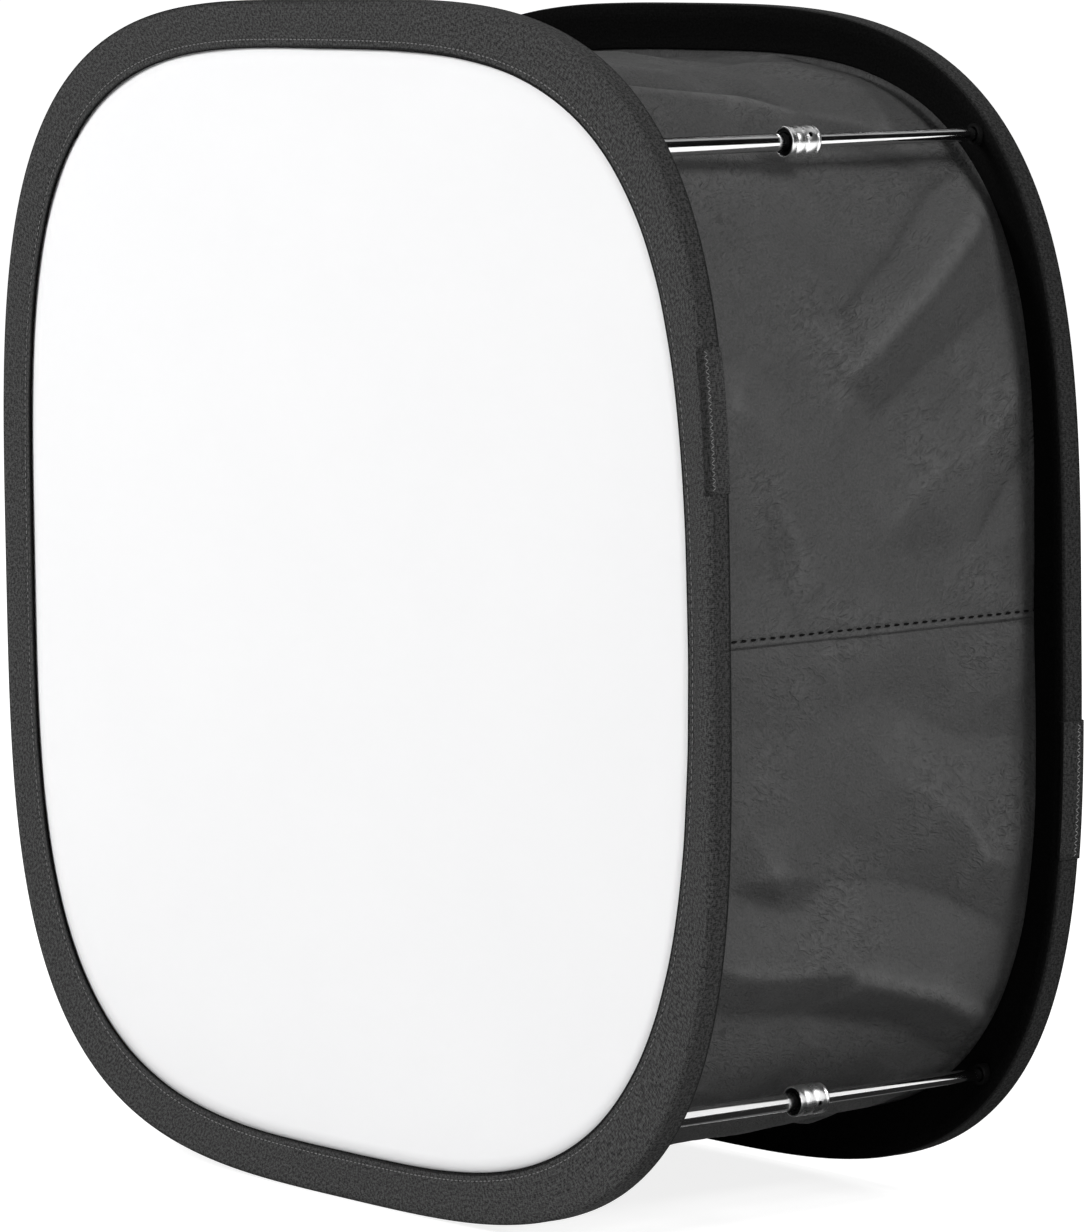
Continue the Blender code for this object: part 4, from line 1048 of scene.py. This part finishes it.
def makeRearPanel(shape):
    angles = evenAngles(shape["spokes"])
    inner, outer = openingRadius(angles), seamRadius("rear", angles) + shape["hem"]
    share = np.linspace(0, 1, shape["rings"])
    reach = inner[:, None] * (1 - share) + outer[:, None] * share
    waves = (1 - 2 * np.abs(flatNoise(angles, reach, *shape["folds"]))) * shape["foldHigh"]
    waves += flatNoise(angles, reach, *shape["small"]) * shape["smallHigh"]
    waves *= np.sin(math.pi * share) ** 0.5
    rear = roundPoints(angles[:, None], reach, rimShape["rearFace"] - shape["level"] + waves)
    front = rear - np.array([0, shape["thick"], 0])
    mesh = sheetMesh("rear_cloth", rear, front, around=True, lined=True)
    flatUv(mesh)
    panel = placePiece("rear_cloth", mesh, ["coated", "silverLining"], "rear_frame",
                       ["rear_panel"])


makeRearPanel(openingShape)

# The binding folded over the opening's edge: its shape follows the opening's rule
bindingShape = {
    "Width": openingShape["width"], "Height": openingShape["height"], "Corner": openingShape["corner"],
    "Band": 9.1 * mm, "Thickness": 2.8 * mm, "Level": 62.55 * mm, "Centre": rimShape["centre"],
}


def runTree(tree, carrier, values):
    modifier = carrier.modifiers.new(tree.name, "NODES")
    modifier.node_group = tree
    names = {item.name: item.identifier for item in tree.interface.items_tree if item.in_out == "INPUT"}
    for key, value in values.items():
        modifier[names[key]] = value
    return evaluatedMesh(carrier)


def pathObject(name, points, cyclic):
    data = bpy.data.curves.new(name, "CURVE")
    data.dimensions = "3D"
    line = data.splines.new("POLY")
    line.points.add(len(points) - 1)
    for spot, point in zip(line.points, points):
        spot.co = (*point, 1)
    line.use_cyclic_u = cyclic
    return newObject(name, data)


def roundedQuad(tree, width, height, radius, count):
    quad = nodeOut(tree, "GeometryNodeCurvePrimitiveQuadrilateral", {"Width": width, "Height": height})
    return nodeOut(tree, "GeometryNodeFilletCurve", {0: quad, "Count": count, "Radius": radius}, mode="POLY")


def evenCurve(tree, curve, length):
    return nodeOut(tree, "GeometryNodeResampleCurve", {0: curve, "Length": length}, mode="LENGTH")


def endTree(tree, takes, gives, made):
    whole = nodeOut(tree, "GeometryNodeRealizeInstances", {0: made})
    coloured = nodeOut(tree, "GeometryNodeSetMaterial", {0: whole, "Material": takes["Material"]})
    tree.links.new(coloured, gives[0])
    return tree


def makeBindingTree(shape):
    tree, takes, gives = newGroup(
        "Geometry", "openingBinding", ["Geometry"], Geometry=None, **shape, Material=None)
    reach = timesAdd(tree, takes["Band"], 0.5, -1.1 * mm)
    wide, high = (timesAdd(tree, reach, 2.0, takes[key]) for key in ("Width", "Height"))
    outline = roundedQuad(tree, wide, high, calc(tree, "ADD", takes["Corner"], reach), 10)
    section = roundedQuad(tree, takes["Band"], takes["Thickness"], 0.9 * mm, 4)
    even = evenCurve(tree, outline, 3.2 * mm)
    swept = nodeOut(tree, "GeometryNodeCurveToMesh", {0: even, 1: section})
    place = nodeOut(tree, "ShaderNodeCombineXYZ", {1: takes["Level"], 2: takes["Centre"]})
    turn = {0: swept, "Translation": place, "Rotation": (math.pi / 2, 0, 0)}
    smooth = nodeOut(tree, "GeometryNodeSetShadeSmooth", {0: nodeOut(tree, "GeometryNodeTransform", turn)})
    return endTree(tree, takes, gives, smooth)


bindingCarrier = pathObject("bindingCarrier", [(0, 0, 0), (0, 0, 0.01)], False)
bindingValues = {**bindingShape, "Material": looks["elastic"]}
bindingMesh = runTree(makeBindingTree(bindingShape), bindingCarrier, bindingValues)
faceOutwards(bindingMesh)
flatUv(bindingMesh)
placePiece("opening_edge_binding", bindingMesh, [], "rear_frame", ["opening_binding"])
print("rear panel and binding made")


# Rods: turned shapes about the rod's own line, as radius and distance along it in mm
rodShape = {
    "sides": 48, "sharpFrom": 40,
    "tube": [(2.7, 3.6), (2.85, 3.6), (3.0, 3.75), (3.0, 74.8), (2.9, 75.0), (2.7, 75.0)],
    "inner": [(1.8, 63.2), (2.1, 63.0), (2.25, 63.15), (2.25, 156.2), (2.15, 156.4), (1.8, 156.4)],
    "collar": [
        (4.6, -5.95), (4.72, -6.0), (4.98, -6.0), (5.10, -5.88), (5.10, -4.6), (5.02, -4.45), (4.93, -4.3),
        (4.93, -3.5), (5.02, -3.35), (5.10, -3.2), (5.10, -0.95), (5.04, -0.8), (4.84, -0.6), (4.80, -0.4),
        (4.80, 0.4), (4.84, 0.6), (5.04, 0.8), (5.10, 0.95), (5.10, 4.0), (5.02, 4.15), (4.95, 4.3),
        (4.95, 4.9), (5.02, 5.0), (5.08, 5.15), (5.04, 5.6), (4.85, 5.9), (4.6, 6.0), (2.55, 6.0),
        (2.55, 5.2), (3.55, 5.2), (4.6, 3.85),
    ],
    "collarFromFront": 75.0 * mm, "pinHole": 0.85 * mm, "pinAlong": 1.8 * mm, "pinOut": 5 * mm,
    "pinDeep": 2.4 * mm, "pinSides": 20,
    "pinTurns": {1: 28, 2: 152, 3: 189, 4: -9},  # degrees round from the right
}


def turnedMesh(name, profile, axis, start):
    turns = (np.arange(rodShape["sides"]) / rodShape["sides"] * math.tau)[:, None]
    radius, along = np.array(profile).T * mm
    x, z = axis.x + np.cos(turns) * radius, axis.z + np.sin(turns) * radius
    mesh = sweptMesh(name, np.stack([x, np.broadcast_to(along + start, x.shape), z], axis=-1), True)
    mesh.set_sharp_from_angle(angle=math.radians(rodShape["sharpFrom"]))
    return mesh


def cutPinHole(mesh, axis, start, turn):
    out = Vector((math.cos(turn), 0, math.sin(turn)))
    middle = axis + out * rodShape["pinOut"]
    middle.y = start + rodShape["pinAlong"]
    place = Matrix.Translation(middle) @ out.to_track_quat("Z", "Y").to_matrix().to_4x4()
    cutter = roundCutter([place], rodShape["pinHole"], rodShape["pinDeep"], rodShape["pinSides"])
    cut = cutAway(mesh, cutter, rodShape["sharpFrom"])
    cut.materials.clear()
    return cut


def makeRod(k, shape):
    axis, front = rodAxis(k), rimShape["frontFace"]
    collarAt = front + shape["collarFromFront"]
    tube, inner = (turnedMesh(part + "Rod", shape[part], axis, front) for part in ("tube", "inner"))
    collar = turnedMesh("collar", shape["collar"], axis, collarAt)
    collar = cutPinHole(collar, axis, collarAt, math.radians(shape["pinTurns"][k]))
    placePiece(f"outer_tube_{k}", tube, ["polished"], "front_frame", [f"rod_tube_{k}"])
    placePiece(f"inner_rod_{k}", inner, ["polished"], "rear_frame", [f"rod_inner_{k}"])
    placePiece(f"twist_collar_{k}", collar, ["collarMetal"], f"collar_{k}",
               [f"rod_collar_{k}"])


for k in range(1, 5):
    makeRod(k, rodShape)
print("rods made")


# Straps behind the light: woven webbing bowed round it, sewn down on the left
strapShape = {
    "hinge": 136 * mm, "width": 22 * mm, "thick": 1.2 * mm, "bow": 29 * mm, "power": 6, "root": 2 * mm,
    "pad": 24 * mm, "tab": 18 * mm, "hook": 1.0 * mm, "height": 55 * mm, "gap": 0.3 * mm, "level": 62.85 * mm,
    "steps": 90, "padSteps": 12,
}


def strapPath(shape):
    gap, end = shape["gap"], 2 * shape["hinge"] - shape["root"]
    start = gap + shape["root"]
    padLevel = 2 * gap + 2 * shape["hook"] - shape["thick"]
    share = -np.cos(math.pi * np.arange(shape["steps"] + 1) / shape["steps"])
    x = start + (end - start) * (share + 1) / 2
    rise = (1 - np.abs(share) ** shape["power"]) ** 2
    y = gap + padLevel * smoothStep((share + 1) / 2) + shape["bow"] * rise
    padEnds = [2 * shape["hinge"] + shape["pad"] * 0.5, 2 * shape["hinge"] + shape["pad"]]
    x = np.concatenate([[gap, gap + 1 * mm], x, padEnds])
    return x, np.concatenate([[gap, gap], y, [gap + padLevel] * 2])


# A flat section, as across and up, swept along a path in x and y
def ribbonMesh(name, x, y, z, section):
    path = np.stack([x, y], axis=-1)
    way = np.gradient(path, axis=0)
    way /= np.linalg.norm(way, axis=1, keepdims=True)
    out = np.stack([-way[:, 1], way[:, 0]], axis=-1)
    columns = [np.column_stack([path + out * up, np.full(len(x), z + across)]) for across, up in section]
    return sweptMesh(name, np.stack(columns, axis=1), False)


def webbingSection(width, thick):
    half, soft, border = width / 2, 0.35 * mm, 2.2 * mm
    return [
        (-half, soft), (-half, thick - soft), (-half + soft, thick), (-half + border, thick), (0, thick),
        (half - border, thick), (half - soft, thick), (half, thick - soft), (half, soft),
        (half - soft, 0), (0, 0), (-half + soft, 0),
    ]


def padSection(width, thick):
    half, soft = width / 2, 0.25 * mm
    return [
        (-half, soft), (-half + soft, thick), (half - soft, thick), (half, soft), (half - soft, 0),
        (-half + soft, 0),
    ]


def makeStrap(label, side, shape):
    hinge, gap, hook = shape["hinge"], shape["gap"], shape["hook"]
    z, base = rimShape["centre"] + side * shape["height"], shape["level"] + gap
    x, y = strapPath(shape)
    section = webbingSection(shape["width"], shape["thick"])
    strap = ribbonMesh(f"{label}_strap", x - hinge, y + (base + shape["thick"]), z, section)
    placePiece(f"{label}_strap_webbing", strap, ["webbing"], f"strap_{label}", [f"strap_{label}"])
    for part, look, start, length, level, thick, body, slot, replaced in (
        ("sewn_tab", "webbing", -hinge - shape["tab"], shape["tab"], base, shape["thick"],
         "rear_frame", "webbing", f"strap_{label}_anchor"),
        ("loop_tape", "loop", hinge, shape["pad"], base, hook,
         "rear_frame", "hook_and_loop", f"loop_patch_{label}"),
        ("hook_tape", "hook", hinge, shape["pad"], base + gap + hook, hook,
         f"strap_{label}", "hook_and_loop", f"hook_pad_{label}"),
    ):
        run = np.linspace(start, start + length, shape["padSteps"])
        section = padSection(shape["width"], thick)
        pad = ribbonMesh(f"{label}_{part}", run, np.full_like(run, level), z, section)
        placePiece(f"{label}_{part}", pad, [look], body, [replaced])


for label, side in (("upper", 1), ("lower", -1)):
    makeStrap(label, side, strapShape)
print("straps made")


# Stitches: threads laid along a path, each a small rounded bar
def makeStitchTree():
    tree, takes, gives = newGroup(
        "Geometry", "stitchesAlong", ["Geometry"], Geometry=None, Pitch=3 * mm, Length=2 * mm,
        Width=0.4 * mm, Height=0.3 * mm, Facing=None, Zigzag=0.0, Seed=1, Material=None)
    even = evenCurve(tree, takes["Geometry"], takes["Pitch"])
    tangent = nodeOut(tree, "GeometryNodeInputTangent")
    along = nodeOut(tree, "FunctionNodeAlignRotationToVector", {"Vector": tangent}, axis="X")
    facing = nodeOut(tree, "FunctionNodeAlignRotationToVector", {
        "Rotation": along, "Vector": takes["Facing"]}, axis="Z", pivot_axis="X")
    odd = timesAdd(tree, calc(tree, "MODULO", nodeOut(tree, "GeometryNodeInputIndex"), 2.0), 2.0, -1.0)
    limits = {2: -0.05, 3: 0.05, "Seed": takes["Seed"]}
    stray = addNode(tree, "FunctionNodeRandomValue", limits, data_type="FLOAT").outputs[1]
    turn = nodeOut(tree, "ShaderNodeCombineXYZ", {2: timesAdd(tree, odd, takes["Zigzag"], stray)})
    turned = nodeOut(tree, "FunctionNodeRotateRotation", {
        "Rotation": facing, "Rotate By": turn}, rotation_space="LOCAL")
    bar = nodeOut(tree, "GeometryNodeMeshUVSphere", {"Segments": 8, "Rings": 5, "Radius": 0.5})
    smooth = nodeOut(tree, "GeometryNodeSetShadeSmooth", {0: bar})
    size = nodeOut(tree, "ShaderNodeCombineXYZ", {0: takes["Length"], 1: takes["Width"], 2: takes["Height"]})
    laid = nodeOut(tree, "GeometryNodeInstanceOnPoints", {
        "Points": even, "Instance": smooth, "Rotation": turned, "Scale": size})
    return endTree(tree, takes, gives, laid)


stitchTree = makeStitchTree()


# Each kind of stitch: pitch, length, width and height in mm
stitchShape = {
    "rim": (2.3, 1.6, 0.42, 0.36), "splice": (1.1, 1.7, 0.32, 0.22), "lap": (4.1, 2.6, 0.85, 0.5),
    "binding": (2.6, 1.9, 0.4, 0.3), "tab": (2.2, 1.6, 0.45, 0.4), "spliceZigzag": 0.95,
}

# Where they run: on the rims how far inwards from the seam or edge and behind the outer face, on the
# laps from and to how far from the front, on the binding how far outside the opening
stitchPlaces = {
    "rim": (-2.85 * mm, 1.24 * mm), "splice": (-0.42 * mm, 2.3 * mm), "spliceEnd": 1.5 * mm,
    "lap": (4.5 * mm, 155.5 * mm), "lapInset": -0.16 * mm, "lapRun": 0.4 * mm,
    "bindingOut": 6.4 * mm, "bindingLevel": 63.98 * mm,
    "tabSide": 2.5 * mm, "tabFree": 2 * mm, "tabHinge": 3 * mm,
}


def sewRow(name, points, cyclic, thread, body, facing, seed, kind, zigzag=0.0):
    values = dict(zip(("Pitch", "Length", "Width", "Height"), (size * mm for size in stitchShape[kind])))
    values.update(Facing=facing, Zigzag=zigzag, Seed=seed, Material=looks[thread])
    mesh = runTree(stitchTree, pathObject(name + "Path", points, cyclic), values)
    return placePiece(name, mesh, [], body)


def sewRims():
    angles = evenAngles(600)
    for rim, thread, way, seed in (("front", "paleThread", -1, 2), ("rear", "darkThread", 1, 3)):
        line = rimPoints(rim, angles, "seam", *stitchPlaces["rim"])
        sewRow(rim + "_rim_stitches", line, True, thread, rim + "_frame", (0, way, 0), seed,
               "rim")
    for rim, thread in (("front", "patchThread"), ("rear", "paleThread")):
        along = patchAngles(rim, stitchPlaces["spliceEnd"], 40)
        line = rimPoints(rim, along, "edge", *stitchPlaces["splice"])
        sewRow(rim + "_splice_zigzag", line, False, thread, rim + "_frame", (1, 0, 0), 5,
               "splice", stitchShape["spliceZigzag"])


def sewLaps():
    fromFront, beside = np.linspace(*stitchPlaces["lap"], 60), stitchPlaces["lapRun"]
    inset = np.full_like(fromFront, stitchPlaces["lapInset"])
    for label, run, way in (("right", beside, 1), ("left", halfRun - beside, -1)):
        line = tunnelPoints(np.full_like(fromFront, run), fromFront, inset, 1)
        row = sewRow("lap_stitches_" + label, line, False, "darkThread", "rear_frame",
                     (way, 0, 0), 7, "lap")
        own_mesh(row)


def sewBinding():
    angles = evenAngles(700)
    radius = openingRadius(angles, stitchPlaces["bindingOut"])
    line = roundPoints(angles, radius, stitchPlaces["bindingLevel"])
    sewRow("binding_stitches", line, True, "darkThread", "rear_frame", (0, 1, 0), 9,
           "binding")


def sewTabs(shape):
    level = shape["level"] + shape["gap"] + shape["thick"]
    half = shape["width"] / 2 - stitchPlaces["tabSide"]
    x0 = -shape["hinge"] - shape["tab"] + stitchPlaces["tabFree"]
    x1 = -shape["hinge"] - stitchPlaces["tabHinge"]
    corners = ((x0, -half), (x1, -half), (x1, half), (x0, half), (x0, -half), (x1, half))
    for label, side in (("upper", 1), ("lower", -1)):
        box = [(x, level, rimShape["centre"] + side * shape["height"] + up) for x, up in corners]
        sewRow(label + "_tab_stitches", box, False, "paleThread", "rear_frame", (0, 1, 0), 11,
               "tab")


sewRims()
sewLaps()
sewBinding()
sewTabs(strapShape)
print("stitches sewn")

# CAD nodes that keep their shape
kept = {"springSteel": ["front_hoop", "front_hoop_ferrule", "rear_hoop", "rear_hoop_ferrule"]}
seats = ("front_rod_seat", "rear_rod_seat", "rod_collet", "rod_plug")
kept["nylon"] = [f"{name}_{k}" for name in seats for k in range(1, 5)]
for look, names in kept.items():
    for name in names:
        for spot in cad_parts[name].material_slots:
            spot.material = looks[look]


# Floor, world and lamps
def emptyTree(block):
    block.use_nodes = True
    block.node_tree.nodes.clear()
    return block.node_tree


# 1 for the rays that show the floor and the world to the camera, also by reflection
def shownRays(tree):
    rays = addNode(tree, "ShaderNodeLightPath").outputs
    mirrored = calc(tree, "MAXIMUM", rays["Is Glossy Ray"], rays["Is Transmission Ray"])
    return calc(tree, "MAXIMUM", rays["Is Camera Ray"], mirrored)


floorShape = {"half": 120, "drop": 0.3 * mm, "lit": 0.68, "seen": 0.42, "glow": (0.9, 2.6, 0.84, 1.0)}


def makeFloor(shape):
    form = bmesh.new()
    bmesh.ops.create_grid(form, x_segments=1, y_segments=1, size=shape["half"])
    mesh = bpy.data.meshes.new("floor")
    form.to_mesh(mesh)
    form.free()
    floor = newObject("floor", mesh)
    floor.location.z = -shape["drop"]
    material = bpy.data.materials.new("paleFloor")
    tree = emptyTree(material)
    plain, seen = (nodeOut(tree, "ShaderNodeBsdfDiffuse", {0: grey(shape[key])}) for key in ("lit", "seen"))
    # white far off, so that no horizon shows
    place = coordinatesOf(tree, "Object")
    far = addNode(tree, "ShaderNodeVectorMath", {0: place}, operation="LENGTH").outputs["Value"]
    glow = nodeOut(tree, "ShaderNodeEmission", {0: grey(1.0), 1: remap(tree, far, *shape["glow"])})
    bright = nodeOut(tree, "ShaderNodeAddShader", {0: seen, 1: glow})
    mixed = nodeOut(tree, "ShaderNodeMixShader", {0: shownRays(tree), 1: plain, 2: bright})
    addNode(tree, "ShaderNodeOutputMaterial", {0: mixed})
    mesh.materials.append(material)


def makeWorld():
    world = bpy.data.worlds.new("paleStudio")
    bpy.context.scene.world = world
    tree = emptyTree(world)
    strength = timesAdd(tree, shownRays(tree), 0.86, 0.14)
    light = nodeOut(tree, "ShaderNodeBackground", {0: grey(1.0), 1: strength})
    addNode(tree, "ShaderNodeOutputWorld", {0: light})


lamps = {
    "key": {"place": (-1.2, -2.6, 1.9), "size": 1.3, "power": 82},
    "over": {"place": (2.2, 0.2, 1.9), "size": 0.8, "power": 44},
    "low": {"place": (2.3, -0.4, 0.2), "size": 0.8, "power": 13},
    "back": {"place": (-0.8, 2.4, 1.9), "size": 1.3, "power": 36},
}
lampTarget = Vector((0, 0, 0.2))


def makeLamps(setups):
    for name, setup in setups.items():
        data = bpy.data.lights.new(name + "Lamp", "AREA")
        data.shape, data.size, data.energy = "SQUARE", setup["size"], setup["power"]
        lamp = newObject(name + "Lamp", data)
        lamp.location = setup["place"]
        lamp.rotation_euler = (lampTarget - Vector(setup["place"])).to_track_quat("-Z", "Y").to_euler()
        lamp.visible_camera = False


# Cards that only reflections see: they draw the rods' black and grey lines. Each runs along Y
# between two edges (x, z); last how bright it looks.
cards = {
    "above": ((-6.0, 1.5), (0.36, 1.5), (0.0, 6.0), 0.004),
    "upperLine": ((0.257, 0.346), (0.257, 0.388), (-0.08, 0.40), 0.004),
    "upperBlack": ((0.257, 0.388), (0.185, 0.438), (-0.08, 0.40), 0.004),
    "upperGrey": ((0.185, 0.438), (0.135, 0.472), (-0.08, 0.40), 0.34),
    "lowerLine": ((0.257, 0.034), (0.150, 0.018), (-0.08, 0.40), 0.02),
    "lowerGrey": ((0.150, 0.018), (0.095, 0.010), (-0.08, 0.40), 0.12),
}


def makeCards(setups):
    for name, (first, second, (start, end), bright) in setups.items():
        material = bpy.data.materials.new(name + "Card")
        tree = emptyTree(material)
        glow = nodeOut(tree, "ShaderNodeEmission", {0: grey(1.0), 1: bright})
        addNode(tree, "ShaderNodeOutputMaterial", {0: glow})
        places = ((first, start), (second, start), (second, end), (first, end))
        mesh = bpy.data.meshes.new(name + "Card")
        mesh.from_pydata([(x, y, z) for (x, z), y in places], [], [(0, 1, 2, 3)])
        mesh.materials.append(material)
        card = newObject(name + "Card", mesh)
        card.visible_camera = card.visible_diffuse = card.visible_shadow = card.visible_transmission = False


makeFloor(floorShape)
makeCards(cards)
makeWorld()
makeLamps(lamps)
print("stage set")
